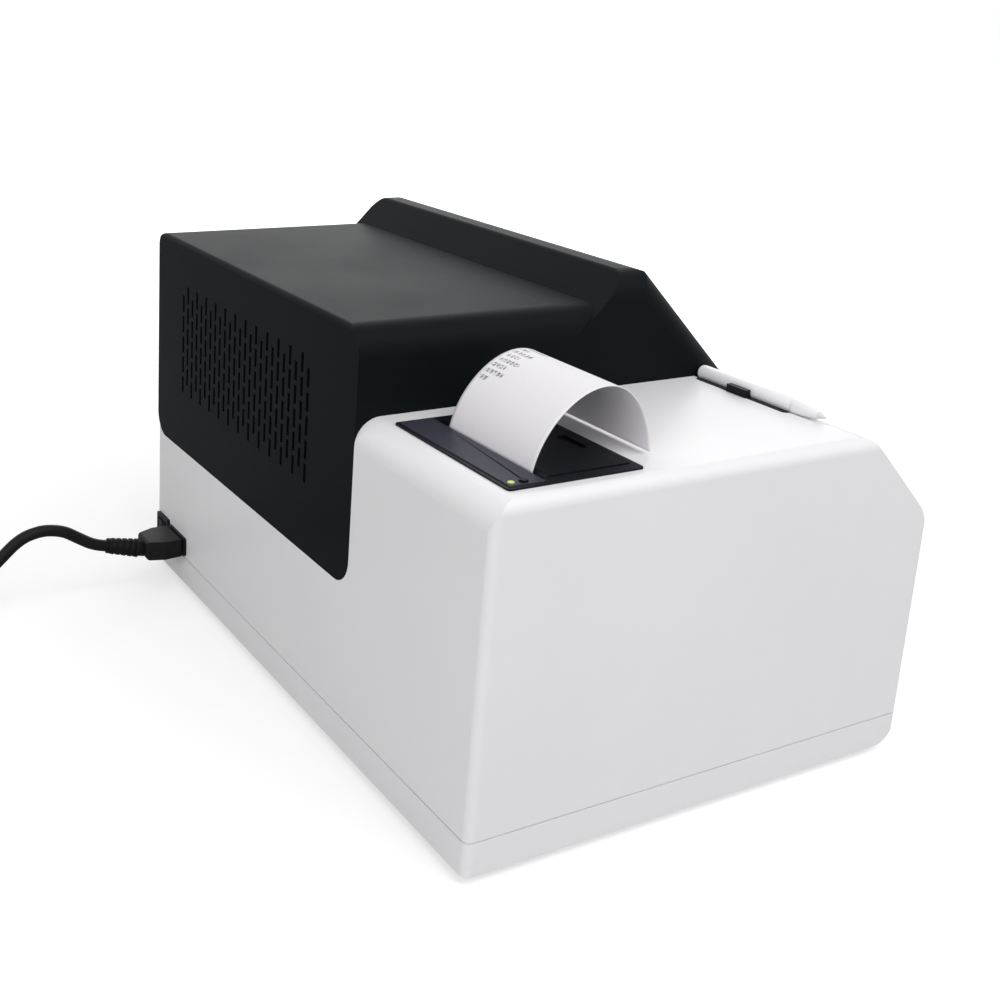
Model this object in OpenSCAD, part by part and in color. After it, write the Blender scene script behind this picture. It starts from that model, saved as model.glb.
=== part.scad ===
// Benchtop immunoassay analyzer: a white two-part case with a black hood, a sloped touch screen,
// a panel printer, a stylus in a clip, a front drawer for test strips and a moving reading head.
// Front is -Y, rear is +Y, the printer stands on the -X side. Heights count from the case bottom,
// which stands on rubber feet; the origin is on the table under the middle of the case.

/* [Case] */
// Width of the case, left to right
body_w = 328; // [324:1:340]
// Depth of the case at its foot
body_d = 218; // [214:1:230]
// Height of the white block beside the hood
block_h = 143.5; // [140:0.5:150]
// Width of the sloped front edge of the white block
chamfer = 38; // [30:1:40]
// Wall of the white mouldings
wall = 3; // [2.5:0.1:3.6]
// Height of the seam between tray and shell
seam_h = 14.5; // [13:0.5:14.5]
// Width of the groove that marks the seam
seam_groove = 0.7; // [0.4:0.1:1]
// Lean of the rear wall, in degrees
rear_draft = 1.7; // [1:0.1:2]
// Floor of the base tray
floor_t = 2.5; // [2:0.1:3]
// Rounding of the rear top edge
rear_top_r = 11.5; // [8:0.5:14]
// Rounding of the left top edge
top_edge_r = 5; // [3.5:0.5:6]
// Rounding of the front foot edge
front_foot_r = 10; // [6:1:12]
// Rounding at the upper end of the sloped front edge
chamfer_r = 9; // [5:1:12]
// Rounding at the lower end of the sloped front edge
chamfer_low_r = 20; // [9:1:22]
// Rounding of the upright rear corners
corner_r = 3.5; // [2:0.5:4]
// Rounding of the upright front corners
front_corner_r = 1.5; // [1:0.5:3]
// Height of the rubber feet
foot_h = 3; // [2:0.5:6]
// Diameter of the rubber feet
foot_d = 16; // [12:1:20]
// Distance of the feet from the case sides
foot_inset = 30; // [24:1:36]

/* [Hood] */
// Distance from the left side of the case to the hood
hood_inset = 101; // [98:1:103]
// Height of the flat hood top
hood_h = 179; // [175:1:184]
// Height of the ridge top
ridge_h = 192.5; // [189:0.5:196]
// Distance from the front face to the foot of the ridge
ridge_back = 98; // [94:1:100]
// Height at which the front slope meets the front face
slope_h = 121; // [120:1:126]
// Height of the hood's lower edge
skirt_h = 72; // [70:1:76]
// Wall of the hood
hood_wall = 2.5; // [2:0.1:3]
// Rounding of the hood's left end
hood_end_r = 12; // [8:1:14]
// Rounding of the hood's right end
hood_far_r = 7; // [4:1:10]
// Rounding of the ridge's front edge
ridge_r = 15; // [8:1:18]
// Rounding of small hood edges
hood_edge_r = 2.5; // [1:0.5:3]
// Rounding where the slope meets the front face
brow_r = 8; // [4:1:10]
// Rounding of the skirt's left corner
skirt_r = 12; // [6:1:14]
// Columns of slots in the grille
grille_cols = 25; // [9:2:25]
// Rows of slots in the grille
grille_rows = 5; // [3:1:5]
// Width of a grille slot
slot_w = 2.4; // [1.6:0.1:3]
// Height of a grille slot
slot_h = 8.4; // [6:0.2:9]
// Distance between slot columns
slot_pitch_x = 6.1; // [5:0.1:6.2]
// Distance between slot rows
slot_pitch_z = 10.4; // [9.6:0.1:11]
// Height of the grille's middle
grille_z = 130.5; // [126:0.5:134]

/* [Screen] */
// Width of the touch glass
glass_w = 150; // [120:1:180]
// Margin between the touch glass and both ends of the front slope
glass_margin = 10; // [9:0.5:18]
// Thickness of the touch glass
glass_t = 1.1; // [0.7:0.1:1.5]
// Width of the ledge that carries the glass
glass_ledge = 4; // [3:0.5:6]
// Thickness of the gasket behind the ledge
gasket_t = 0.8; // [0.5:0.1:1.5]
// Thickness of the display
lcd_t = 6; // [4:0.5:8]

/* [Printer] */
// Width of the printer frame
printer_w = 81; // [77:1:84]
// Depth of the printer frame
printer_d = 58; // [57:0.5:62]
// Distance from the left side of the case to the printer frame
printer_inset = 8.5; // [8:0.5:12]
// Distance from the rear face to the printer frame
printer_back = 15; // [13:0.5:17]
// How far the printer frame stands over the case top
bezel_h = 0.8; // [0.6:0.1:2]
// Border of the printer frame around its bucket
bezel_border = 3; // [2.5:0.1:4]
// Depth of the paper bucket
bucket_h = 50; // [46:1:56]
// Wall of the paper bucket
bucket_wall = 2; // [1.6:0.1:2.4]
// Depth of the fixed strip behind the paper slot
strip_d = 14.5; // [13:0.5:16]
// Width of the paper slot
slot_gap = 2.2; // [1.8:0.1:3]
// Thickness of the paper door
door_t = 2.4; // [2:0.1:3]
// Width of the paper
paper_w = 57; // [50:1:57]
// Thickness of the paper
paper_t = 0.3; // [0.2:0.05:0.5]
// Radius of the paper roll
roll_r = 14; // [10:0.5:15]
// Radius of the platen roller
platen_r = 4.5; // [3.5:0.1:4.8]
// Height of the paper arch over the case top
arch_h = 28; // [20:1:34]
// Diameter of the status lamp
led_d = 2.6; // [2:0.1:3]
// Diameter of the feed button
feed_d = 3; // [2.4:0.1:3.2]

/* [Stylus] */
// Diameter of the stylus
stylus_d = 6.5; // [6:0.5:8]
// Length of the stylus
stylus_l = 76.5; // [60:0.5:90]
// Length of the stylus tip
stylus_tip = 18; // [10:1:20]
// Distance from the front face to the stylus
stylus_back = 41; // [39:0.5:43]
// Length of the stylus clip
clip_l = 12; // [8:1:16]

/* [Drawer] */
// Room beside the strip tray for its rails, belt and motor
tray_side = 43.5; // [43:0.5:46]
// Room behind the strip tray for the reading head's drive
tray_back = 92; // [88:1:96]
// Height of the strip tray
tray_h = 20; // [18:0.5:22]
// Height of the strip tray's underside
tray_z = 32; // [31:0.5:33]
// Number of strip lanes
lane_count = 4; // [2:1:5]
// Width of a strip lane
lane_w = 22; // [14:0.5:24]
// Depth of a strip lane
lane_depth = 14; // [8:0.5:15]
// How far the drawer front stands past the tray on each side
front_lap = 7; // [6.6:0.2:10]
// Height of the drawer front
front_h = 42; // [38:1:46]
// Height of the drawer front's lower edge
front_z = 20; // [18:0.5:21]
// Thickness of the drawer front
front_t = 7; // [6.6:0.1:8]
// Width of the finger grip in the drawer front
grip_w = 64; // [50:1:80]
// Depth of the finger grip
grip_depth = 5.4; // [4.6:0.1:5.4]
// Radius of the finger grip's hollow
grip_r = 14.5; // [12:0.5:18]
// Thickness of a drawer runner
runner_t = 4; // [3:0.2:5]
// Height of a drawer runner
runner_h = 8; // [6:0.5:9]
// Length of a runner behind the tray
runner_tail = 34; // [30:1:36]
// Sheet thickness of rails and brackets
sheet = 1.6; // [1.2:0.1:2]

/* [Reading head] */
// Diameter of the guide rods
rod_d = 8; // [6:0.5:9]
// Distance between the guide rods
rod_span = 52; // [48:1:54]
// Height of the guide rods
rod_z = 84; // [82:0.5:86]
// Width of the carriage
carriage_w = 40; // [38:1:44]
// Height of the carriage
carriage_h = 16; // [14:0.5:18]
// Diameter of the detector housing
detector_d = 32; // [24:1:34]
// Height of the detector housing
detector_h = 82; // [70:1:84]
// Diameter of the detector window
window_d = 20; // [12:1:22]

/* [Drives] */
// Radius of the belt pulleys
pulley_r = 8; // [7:0.2:8.4]
// Width of the belts
belt_w = 6; // [5:0.5:6.5]
// Thickness of the belts
belt_t = 1.4; // [1:0.1:1.6]
// Side of a stepping motor
motor_w = 35; // [28:1:35]
// Length of a stepping motor
motor_l = 26; // [20:1:26]
// Diameter of the motor shafts and idler pins
shaft_d = 5; // [4:0.5:6]
// Side of the fan
fan_w = 60; // [50:1:62]
// Thickness of the fan
fan_t = 15; // [10:1:16]

/* [Rear panel] */
// Distance from the right side of the case to the mains inlet
inlet_inset = 33; // [33:1:37]
// Height of the mains inlet's middle
inlet_z = 20.6; // [20.3:0.1:22]
// Width of the inlet flange
inlet_w = 24; // [22:0.5:24]
// Height of the inlet flange
inlet_h = 10; // [9.5:0.5:11]
// Width of the power switch flange
switch_w = 16.5; // [14:0.5:16.5]
// Height of the power switch flange
switch_h = 12; // [11:0.5:14]
// Gap between the inlet's and the switch's flanges
switch_gap = 1; // [0.8:0.1:1.2]

/* [Mains lead] */
// Diameter of the lead
cord_d = 6; // [5:0.1:6]
// Turns in the coil
coil_turns = 6.25; // [3.25:1:7.25]
// Radius of the coil's outermost turn
coil_r = 45; // [44:1:50]
// Step between turns of the coil
coil_step = 6.6; // [6.5:0.1:7]

/* [Fits] */
// Clearance between parts that slide past each other
slide_gap = 0.4; // [0.3:0.05:0.5]
// Clearance of a shaft in its bore, on the radius
run_gap = 0.05; // [0.03:0.01:0.08]
// Clearance around a part that is set into an opening
set_gap = 0.25; // [0.15:0.05:0.4]

/* [Hidden] */
$fn = 48;

white = [0.92, 0.92, 0.93];
black = [0.10, 0.11, 0.12];
slate = [0.24, 0.24, 0.28];
steel = [0.70, 0.71, 0.73];
zinc = [0.62, 0.64, 0.66];
dark = [0.18, 0.18, 0.19];
green = [0.10, 0.32, 0.20];

// Case: main planes
left_x = -body_w / 2;
right_x = body_w / 2;
front_y = -body_d / 2;
far = 600;
function rear_y(z) = body_d / 2 - z * tan(rear_draft);

// Hood: main planes, with the front slope at 45 degrees
hood_x = left_x + hood_inset;
bay_x = (hood_x + right_x) / 2;
slope_n = (slope_h - front_y) / sqrt(2);
glass_l = (ridge_h - slope_h) * sqrt(2) - 2 * glass_margin;
ridge_y = front_y + ridge_back;
function slope_y(z) = z - slope_h + front_y;

// Chassis
chassis_z = 10;
chassis_t = 1.5;
chassis_top = chassis_z + chassis_t;
chassis_inset_x = 14;
chassis_inset_y = 13;
boss_r = 4.5;
screw_r = 1.5;
screw_head_r = 2.8;
screw_head_h = 2.2;
post_inset = 8;
post_r = 5.5;
post_h = 30;
case_screw_l = 26;
chassis_points = [
    for (x = [left_x + 26, hood_x - 12, right_x - 26]) for (y = [front_y + 20, body_d / 2 - 24]) [x, y]
];
post_points = [
    for (x = [left_x + post_inset, right_x - post_inset])
        for (y = [front_y + front_foot_r + 7, body_d / 2 - 26]) [x, y]
];

// Printer
printer_x = left_x + printer_inset + printer_w / 2;
printer_y1 = body_d / 2 - printer_back;
printer_y0 = printer_y1 - printer_d;
bucket_w = printer_w - 2 * bezel_border;
bucket_in = bucket_w / 2 - bucket_wall;
strip_y1 = printer_y1 - bezel_border / 2;
strip_y0 = strip_y1 - strip_d;
door_y1 = strip_y0 - slot_gap;
door_y0 = printer_y0 + bezel_border;
door_w = bucket_w - 2 * bucket_wall - 2 * slide_gap;
hinge_r = 1.2;
hinge_y = door_y1 - door_t;
hinge_z = block_h + bezel_h - door_t + 0.4;
paper_y = door_y1 + 0.5 + paper_t / 2;
platen_y = paper_y + paper_t / 2 + 0.3 + platen_r;
platen_z = block_h - 12;
paper_drop = 8;
roll_y = printer_y0 + bezel_border + bucket_wall + roll_r + 1.5;
roll_z = block_h - roll_r - 10;
spindle_r = 4;
led_at = [printer_x - printer_w / 2 + 4.7, strip_y1 - 2.4];
feed_at = [printer_x - printer_w / 2 + 4.1, strip_y1 - 7.2];
strip_w = printer_w - bezel_border;
strip_z = block_h + 0.4;

// Paper arch: a Bezier curve in the Y-Z plane from the slot over the door to the case top
arch_peak = block_h + arch_h * 4 / 3;
arch = [
    [paper_y, block_h], [paper_y - 6, arch_peak - 9], [printer_y0 - 5, arch_peak + 9],
    [printer_y0 - 11.6, block_h + 1.2]
];
arch_steps = 20;
function bezier(b, t) =
    (1 - t) ^ 3 * b[0] + 3 * t * (1 - t) ^ 2 * b[1] + 3 * t * t * (1 - t) * b[2] + t ^ 3 * b[3];
function bezier_dir(b, t) =
    3 * (1 - t) ^ 2 * (b[1] - b[0]) + 6 * t * (1 - t) * (b[2] - b[1]) + 3 * t * t * (b[3] - b[2]);

// Stylus
stylus_y = front_y + stylus_back;
stylus_z = block_h + stylus_d / 2 - 1;
stylus_r = stylus_d / 2;
stylus_x1 = hood_x - 1.5;
clip_x = hood_x - 31;
clip_side = stylus_r + slide_gap + 2.6;
clip_front = stylus_r + slide_gap + 1.2;
clip_rise = 1.2;
rest_x0 = stylus_x1 - stylus_l + stylus_tip;
rest_x1 = stylus_x1 - 2;
rest_t = wall - 0.8;
rest_rise = 0.3;
rest_side = stylus_r + slide_gap + 1.9;
rest_front = 3;

// Drawer
tray_w = right_x - hood_x - 2 * tray_side;
front_w = tray_w + 2 * front_lap;
tray_y0 = front_y + front_t;
tray_y1 = body_d / 2 - tray_back;
tray_top = tray_z + tray_h;
lane_pitch = tray_w / lane_count;
runner_z = tray_z + 6;
runner_y0 = tray_y0 + 6;
runner_y1 = tray_y1 + runner_tail;
rail_y0 = tray_y0 + 1;
rail_y1 = runner_y1 + 1;
rail_in = tray_w / 2 + runner_t + slide_gap;

// Reading head
carriage_y = tray_y1 - 4;
rod_y = [carriage_y - rod_span / 2, carriage_y + rod_span / 2];
carriage_d = rod_span + rod_d + 16;
rod_x0 = hood_x + 14;
rod_x1 = right_x - 16;
plate_t = 3;
detector_z = tray_top + 6;
head_travel = lane_pitch * (lane_count - 1) / 2;

// Belt drives: local X along the belt, local Y along the shafts
belt_in = pulley_r + 0.3;
belt_out = belt_in + belt_t;
flange_r = belt_out + 0.5;
flange_t = 1;
pulley_w = belt_w + 2 * slide_gap;
bracket_y = pulley_w / 2 + flange_t + 0.3;
bracket_t = 2.5;
motor_half = motor_w / 2 + 2.5;
idler_half = 7;
drive_gap = 1;
drawer_belt_x = bay_x - rail_in - sheet - 10;
drawer_belt_z = 30;
drawer_belt_y0 = front_y + 28;
drawer_motor_back = 34;
drawer_belt_l = body_d / 2 - drawer_motor_back - drawer_belt_y0;
head_belt_y = carriage_y + carriage_d / 2 + 8;
head_belt_z = rod_z - 4;
head_clamp_w = 12;
head_reach = head_travel + head_clamp_w / 2 + drive_gap;
head_belt_x0 = bay_x - head_reach - flange_r;
head_belt_l = 2 * head_reach + flange_r + motor_half;
clamp_y = runner_y1 - 7;
clamp_w = 10;

// Fan
fan_x = bay_x + 3.5;
fan_pitch = fan_w * 5 / 6;
fan_y1 = rear_y(hood_h) - hood_wall - 7;
fan_bore_r = fan_w / 2 - 1.5;
fan_hub_r = fan_w / 5;
fan_screw_r = 2;

// Rear panel
inlet_x = right_x - inlet_inset;
switch_x = inlet_x + inlet_w / 2 + switch_gap + switch_w / 2;
switch_z = seam_h + 0.6 + switch_h / 2;
flange_thick = 1.5;
inlet_border = 1;
inlet_wall = 0.9;
inlet_pin = 4.3;
inlet_depth = 22;
rocker_tilt = 10;

// Mains lead
cord_r = cord_d / 2;
connector_l = 20;
connector_w = inlet_w - 2;
connector_t = inlet_h - 0.5;
relief_l = 20;
connector_end = [-6.2, 4];
relief_tilt = 12.3;
relief_drop = 2;
relief_r = 4.2;
tie_t = 1;
coil_z = cord_r + tie_t + 0.3;
coil_lift = cord_d + 0.6;
coil_at = [inlet_x + coil_r, body_d / 2 + 146];
coil_rings = 24;
coil_n = round(coil_turns * coil_rings);
plug_body_l = 34;
plug_relief_l = 20;
// The lead from the connector over a low hump to the table and the coil: distance behind the rear
// foot line, and height over the table
lead_line = [
    [34.2, 26.05], [38.1, 27], [41, 27.7], [43.9, 28.7], [46.7, 30], [49.3, 31.6], [52.6, 33.8], [56, 36.1],
    [58.8, 37.8], [61.8, 39], [64.9, 39.8], [68.2, 40.3], [71.4, 40.3], [74.6, 39.8], [77.8, 39],
    [80.8, 37.7], [83.5, 36], [86.1, 34], [92.5, 28.2], [99, 22.4], [105.5, 16.5], [111.7, 11], [115.5, 8.1],
    [119.8, 6], [124.3, 4.7], [129.1, 4.3], [134, 4.3], [140, 4.3]
];
lead_points = [for (p = lead_line) [inlet_x, body_d / 2 + p.x, p.y]];

// Outlines
function unit(v) = v / norm(v);
function prev(p, i) = p[(i + len(p) - 1) % len(p)];
function next(p, i) = p[(i + 1) % len(p)];
function half_angle(p, i) =
    acos(unit(prev(p, i) - p[i]) * unit(next(p, i) - p[i])) / 2;
function inward(p, i) = unit(unit(prev(p, i) - p[i]) + unit(next(p, i) - p[i]));
function inset(p, d) = [for (i = [0:len(p) - 1]) p[i] + inward(p, i) * d / sin(half_angle(p, i))];
function shrink(r, d) = [for (v = r) v > d + 0.2 ? v - d : 0];
function corner_points(p, r, i) =
    r[i] == 0 ? [p[i]] : [
        p[i] + unit(prev(p, i) - p[i]) * r[i] / tan(half_angle(p, i)),
        p[i] + unit(next(p, i) - p[i]) * r[i] / tan(half_angle(p, i))
    ];

// A convex outline with round corners
module rounded(p, r) {
    polygon([for (i = [0:len(p) - 1]) each corner_points(p, r, i)]);
    for (i = [0:len(p) - 1])
        if (r[i] > 0)
            translate(p[i] + inward(p, i) * r[i] / sin(half_angle(p, i)))
                circle(r[i]);
}

// A rectangle from x0, y0 to x1, y1 with one corner radius
module plate(x0, y0, x1, y1, r = 0) {
    rounded([[x0, y0], [x1, y0], [x1, y1], [x0, y1]], [r, r, r, r]);
}

module along_x(x0, x1) {
    translate([x0, 0, 0])
        rotate([90, 0, 90])
            linear_extrude(x1 - x0)
                children();
}

module along_y(y0, y1) {
    translate([0, y1, 0])
        rotate([90, 0, 0])
            linear_extrude(y1 - y0)
                children();
}

module box(x0, x1, y0, y1, z0, z1) {
    translate([x0, y0, z0])
        cube([x1 - x0, y1 - y0, z1 - z0]);
}

module rod_x(x0, x1, y, z, r) {
    translate([x0, y, z])
        rotate([0, 90, 0])
            cylinder(r = r, h = x1 - x0);
}

module rod_y(y0, y1, x, z, r) {
    translate([x, y1, z])
        rotate([90, 0, 0])
            cylinder(r = r, h = y1 - y0);
}

module rod_z(z0, z1, x, y, r) {
    translate([x, y, z0])
        cylinder(r = r, h = z1 - z0);
}

// Stands a part on the rubber feet
module lift() {
    translate([0, 0, foot_h])
        children();
}

// Local frame on the rear wall: +Y points out of the case
module on_rear(x, z) {
    translate([x, rear_y(z), z])
        rotate([rear_draft, 0, 0])
            children();
}

// Local frame on the front slope of the hood: +Z points out of it, +Y runs up it
module on_slope() {
    slope_mid = (slope_h + ridge_h - 1) / 2;
    translate([bay_x, slope_y(slope_mid), slope_mid])
        rotate([45, 0, 0])
            children();
}

// Case

block_outline = [
    [front_y, 0], [body_d / 2, 0], [rear_y(block_h), block_h], [front_y + chamfer, block_h],
    [front_y, block_h - chamfer]
];
block_radii = [front_foot_r, 0, rear_top_r, chamfer_r, chamfer_low_r];

// The white block, drawn in by d on every side
module block(d = 0) {
    intersection() {
        along_x(left_x + d, right_x - d)
            rounded(inset(block_outline, d), shrink(block_radii, d));
        along_y(-far, far)
            rounded(
                [[left_x + d, -far], [right_x - d, -far], [right_x - d, block_h - d], [left_x + d,
                    block_h - d]],
                shrink([0, 0, top_edge_r, top_edge_r], d)
            );
        translate([0, body_d / 2, 0])
            rotate([rear_draft, 0, 0])
                translate([0, -d / cos(rear_draft), -far / 2])
                    linear_extrude(far)
                        rounded(
                            [[left_x + d, -far], [right_x - d, -far], [right_x - d, 0], [left_x + d, 0]],
                            shrink([0, 0, corner_r, corner_r], d)
                        );
        translate([0, 0, -far / 2])
            linear_extrude(far)
                rounded(
                    [[left_x + d, front_y + d], [right_x - d, front_y + d], [right_x - d, far],
                        [left_x + d, far]],
                    shrink([front_corner_r, front_corner_r, 0, 0], d)
                );
    }
}

module slab(z0, z1) {
    box(-far, far, -far, far, z0, z1);
}

module base_tray() {
    color(white)
        lift()
            difference() {
                union() {
                    difference() {
                        union() {
                            intersection() {
                                block();
                                slab(-1, seam_h - seam_groove);
                            }
                            intersection() {
                                block(seam_groove);
                                slab(1, seam_h);
                            }
                        }
                        intersection() {
                            block(wall);
                            slab(floor_t, far);
                        }
                        box(left_x + wall, right_x - wall, front_y + 3 * wall, body_d / 2 - 2 * wall,
                            floor_t, far);
                    }
                    intersection() {
                        block();
                        for (p = post_points)
                            rod_z(0.5, seam_h, p.x, p.y, post_r);
                    }
                    for (p = chassis_points)
                        rod_z(floor_t - 0.5, chassis_z, p.x, p.y, boss_r);
                }
                for (p = post_points) {
                    rod_z(-1, far, p.x, p.y, screw_r + 0.2);
                    rod_z(-1, screw_head_h + 1, p.x, p.y, screw_head_r + 0.3);
                }
                for (p = chassis_points)
                    rod_z(floor_t, far, p.x, p.y, screw_r + run_gap);
            }
}

module rubber_feet() {
    color(dark)
        for (sx = [-1, 1])
            for (sy = [-1, 1])
                translate([sx * (right_x - foot_inset), sy * (body_d / 2 - foot_inset), 0])
                    rotate_extrude()
                        polygon([
                            [0, 0], [foot_d / 2 - 1, 0], [foot_d / 2, 1], [foot_d / 2, foot_h], [0, foot_h]
                        ]);
}

// The room that the hood takes out of the white shell
module hood_room() {
    along_y(-far, far)
        rounded(
            [[hood_x, skirt_h], [far, skirt_h], [far, far], [hood_x, far]],
            [skirt_r, 0, 0, 0]
        );
}

module far_corner() {
    difference() {
        box(right_x - skirt_r, far, -far, far, skirt_h - 1, skirt_h + skirt_r);
        rod_y(-far, far, right_x - skirt_r, skirt_h + skirt_r, skirt_r);
    }
}

module body_shell() {
    color(white)
        lift()
            difference() {
                union() {
                    difference() {
                        intersection() {
                            block();
                            slab(seam_h, far);
                        }
                        block(wall);
                        difference() {
                            hood_room();
                            far_corner();
                        }
                    }
                    intersection() {
                        block();
                        for (p = post_points)
                            rod_z(seam_h, seam_h + post_h, p.x, p.y, post_r);
                    }
                }
                for (p = post_points)
                    rod_z(-1, seam_h + post_h - 3, p.x, p.y, screw_r + run_gap);
                printer_cutout();
                rod_x(stylus_x1 - stylus_l - 1, hood_x + 1, stylus_y, stylus_z, stylus_r + slide_gap);
                stylus_rest(0.1, 5);
                box(bay_x - front_w / 2 - slide_gap, bay_x + front_w / 2 + slide_gap, front_y - 1,
                    front_y + wall + 1, front_z - slide_gap, front_z + front_h + slide_gap);
                on_rear(inlet_x, inlet_z)
                    box(-inlet_w / 2 + inlet_border, inlet_w / 2 - inlet_border, -wall - 2, 1,
                        -inlet_h / 2 + inlet_border, inlet_h / 2 - inlet_border);
                on_rear(switch_x, switch_z)
                    box(-switch_w / 2 + 1, switch_w / 2 - 1, -wall - 2, 1, -switch_h / 2 + 1,
                        switch_h / 2 - 1);
            }
}

module case_screws() {
    color(steel)
        lift()
            for (p = post_points) {
                rod_z(1, 1 + screw_head_h, p.x, p.y, screw_head_r);
                rod_z(1, case_screw_l, p.x, p.y, screw_r);
            }
}

// Hood

// A prism that limits one face of the hood and rounds its two ends; n is the face's distance
module end_round(angle, n, d, near_r, far_r) {
    rotate([angle, 0, 0])
        translate([0, 0, -far])
            linear_extrude(2 * far)
                rounded(
                    [[hood_x + d, -far], [right_x - d, -far], [right_x - d, n - d], [hood_x + d, n - d]],
                    shrink([0, 0, far_r, near_r], d)
                );
}

// The hood's outer form, drawn in by d; open_z is how far it reaches down
module hood_form(d, open_z) {
    low = open_z - d;
    main = [
        [ridge_y - 18, low], [rear_y(low), low], [rear_y(hood_h), hood_h], [ridge_y - 18, hood_h]
    ];
    front = [
        [front_y, low], [ridge_y + hood_h - low, low], [ridge_y + hood_h - ridge_h, ridge_h],
        [slope_y(ridge_h), ridge_h], [front_y, slope_h]
    ];
    intersection() {
        along_x(hood_x + d, right_x - d)
            rounded(inset(main, d), shrink([0, 0, hood_edge_r, 0], d));
        end_round(90, hood_h, d, hood_end_r, hood_far_r);
    }
    intersection() {
        along_x(hood_x + d, right_x - d)
            rounded(inset(front, d), shrink([0, 0, hood_edge_r, ridge_r, brow_r], d));
        end_round(45, (ridge_y + hood_h) / sqrt(2), d, hood_end_r, hood_far_r);
        end_round(90, ridge_h, d, hood_end_r, hood_far_r);
        end_round(135, slope_n, d, hood_end_r, hood_far_r);
    }
}

module grille_slots() {
    columns = (grille_cols - 1) / 2;
    rows = (grille_rows - 1) / 2;
    for (i = [-columns:columns])
        for (j = [-rows:rows])
            on_rear(fan_x + i * slot_pitch_x,
                grille_z + (j + (abs(i) % 2 == 1 ? 0.25 : -0.25)) * slot_pitch_z)
                box(-slot_w / 2, slot_w / 2, -2 * hood_wall, hood_wall, -slot_h / 2, slot_h / 2);
}

module hood() {
    color(black)
        lift()
            difference() {
                union() {
                    difference() {
                        intersection() {
                            hood_form(0, skirt_h);
                            difference() {
                                hood_room();
                                far_corner();
                            }
                        }
                        hood_form(hood_wall, skirt_h - 20);
                    }
                    for (sx = [-1, 1])
                        for (sz = [-1, 1])
                            rod_y(fan_y1, rear_y(grille_z + sz * fan_pitch / 2) - 1,
                                fan_x + sx * fan_pitch / 2,
                                grille_z + sz * fan_pitch / 2, 3.5);
                }
                grille_slots();
                for (sx = [-1, 1])
                    for (sz = [-1, 1])
                        rod_y(fan_y1 - 1, fan_y1 + 5, fan_x + sx * fan_pitch / 2,
                            grille_z + sz * fan_pitch / 2, fan_screw_r + run_gap);
                on_slope() {
                    translate([0, 0, -glass_t - 0.1])
                        linear_extrude(5)
                            plate(-glass_w / 2 - set_gap, -glass_l / 2 - set_gap, glass_w / 2 + set_gap,
                                glass_l / 2 + set_gap, 3);
                    translate([0, 0, -10])
                        linear_extrude(20)
                            plate(-glass_w / 2 + glass_ledge, -glass_l / 2 + glass_ledge,
                                glass_w / 2 - glass_ledge, glass_l / 2 - glass_ledge, 1);
                }
            }
}

module touch_glass() {
    color([0.05, 0.06, 0.08])
        lift()
            on_slope()
                translate([0, 0, -glass_t - 0.1])
                    linear_extrude(glass_t)
                        plate(-glass_w / 2, -glass_l / 2, glass_w / 2, glass_l / 2, 2.7);
}

module screen_gasket() {
    color(dark)
        lift()
            on_slope()
                translate([0, 0, -hood_wall - gasket_t])
                    linear_extrude(gasket_t)
                        difference() {
                            plate(-glass_w / 2, -glass_l / 2, glass_w / 2, glass_l / 2, 2);
                            plate(-glass_w / 2 + glass_ledge, -glass_l / 2 + glass_ledge,
                                glass_w / 2 - glass_ledge, glass_l / 2 - glass_ledge, 1);
                        }
}

module lcd_panel() {
    color([0.12, 0.18, 0.26])
        lift()
            on_slope() {
                translate([0, 0, -hood_wall - gasket_t - lcd_t])
                    linear_extrude(lcd_t)
                        plate(-glass_w / 2, -glass_l / 2, glass_w / 2, glass_l / 2, 2);
            }
}

// Printer

module printer_cutout() {
    box(printer_x - bucket_w / 2 - set_gap, printer_x + bucket_w / 2 + set_gap,
        printer_y0 + bezel_border - set_gap, printer_y1 - bezel_border + set_gap, block_h - 2 * wall, far);
}

module printer_frame() {
    color(black)
        lift()
            difference() {
                union() {
                    translate([0, 0, block_h])
                        linear_extrude(bezel_h)
                            plate(printer_x - printer_w / 2, printer_y0, printer_x + printer_w / 2,
                                printer_y1, 1.5);
                    box(printer_x - bucket_w / 2, printer_x + bucket_w / 2, printer_y0 + bezel_border,
                        printer_y1 - bezel_border, block_h - bucket_h, block_h + bezel_h / 2);
                }
                box(printer_x - bucket_in, printer_x + bucket_in, printer_y0 + bezel_border + bucket_wall,
                    printer_y1 - bezel_border - bucket_wall, block_h - bucket_h + bucket_wall, far);
                box(printer_x - bucket_in, printer_x + bucket_in, door_y0 - slide_gap,
                    printer_y1 - bezel_border - 1,
                    hinge_z - 4, far);
                box(printer_x - strip_w / 2, printer_x + strip_w / 2, strip_y0, strip_y1, strip_z, far);
                rod_z(block_h, far, feed_at.x, feed_at.y, feed_d / 2 + 0.3);
                for (p = [[hinge_y, hinge_z], [platen_y, platen_z], [roll_y, roll_z]])
                    rod_x(printer_x - bucket_in - 1.2, printer_x + bucket_in + 1.2, p.x, p.y,
                        hinge_r + run_gap);
            }
}

// The fixed strip behind the slot, with a lip to tear the paper on
module printer_strip() {
    color(slate)
        lift()
            difference() {
                union() {
                    box(printer_x - strip_w / 2, printer_x + strip_w / 2, strip_y0, strip_y1, strip_z,
                        block_h + bezel_h + 0.5);
                    box(printer_x - bucket_in + 1, printer_x + bucket_in - 1, strip_y0, strip_y0 + 1.2,
                        block_h - 4,
                        strip_z + 0.5);
                }
                rod_z(block_h - 2, far, led_at.x, led_at.y, led_d / 2 + 0.1);
                rod_z(block_h - 2, far, feed_at.x, feed_at.y, feed_d / 2 + 0.3);
            }
}

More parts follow.
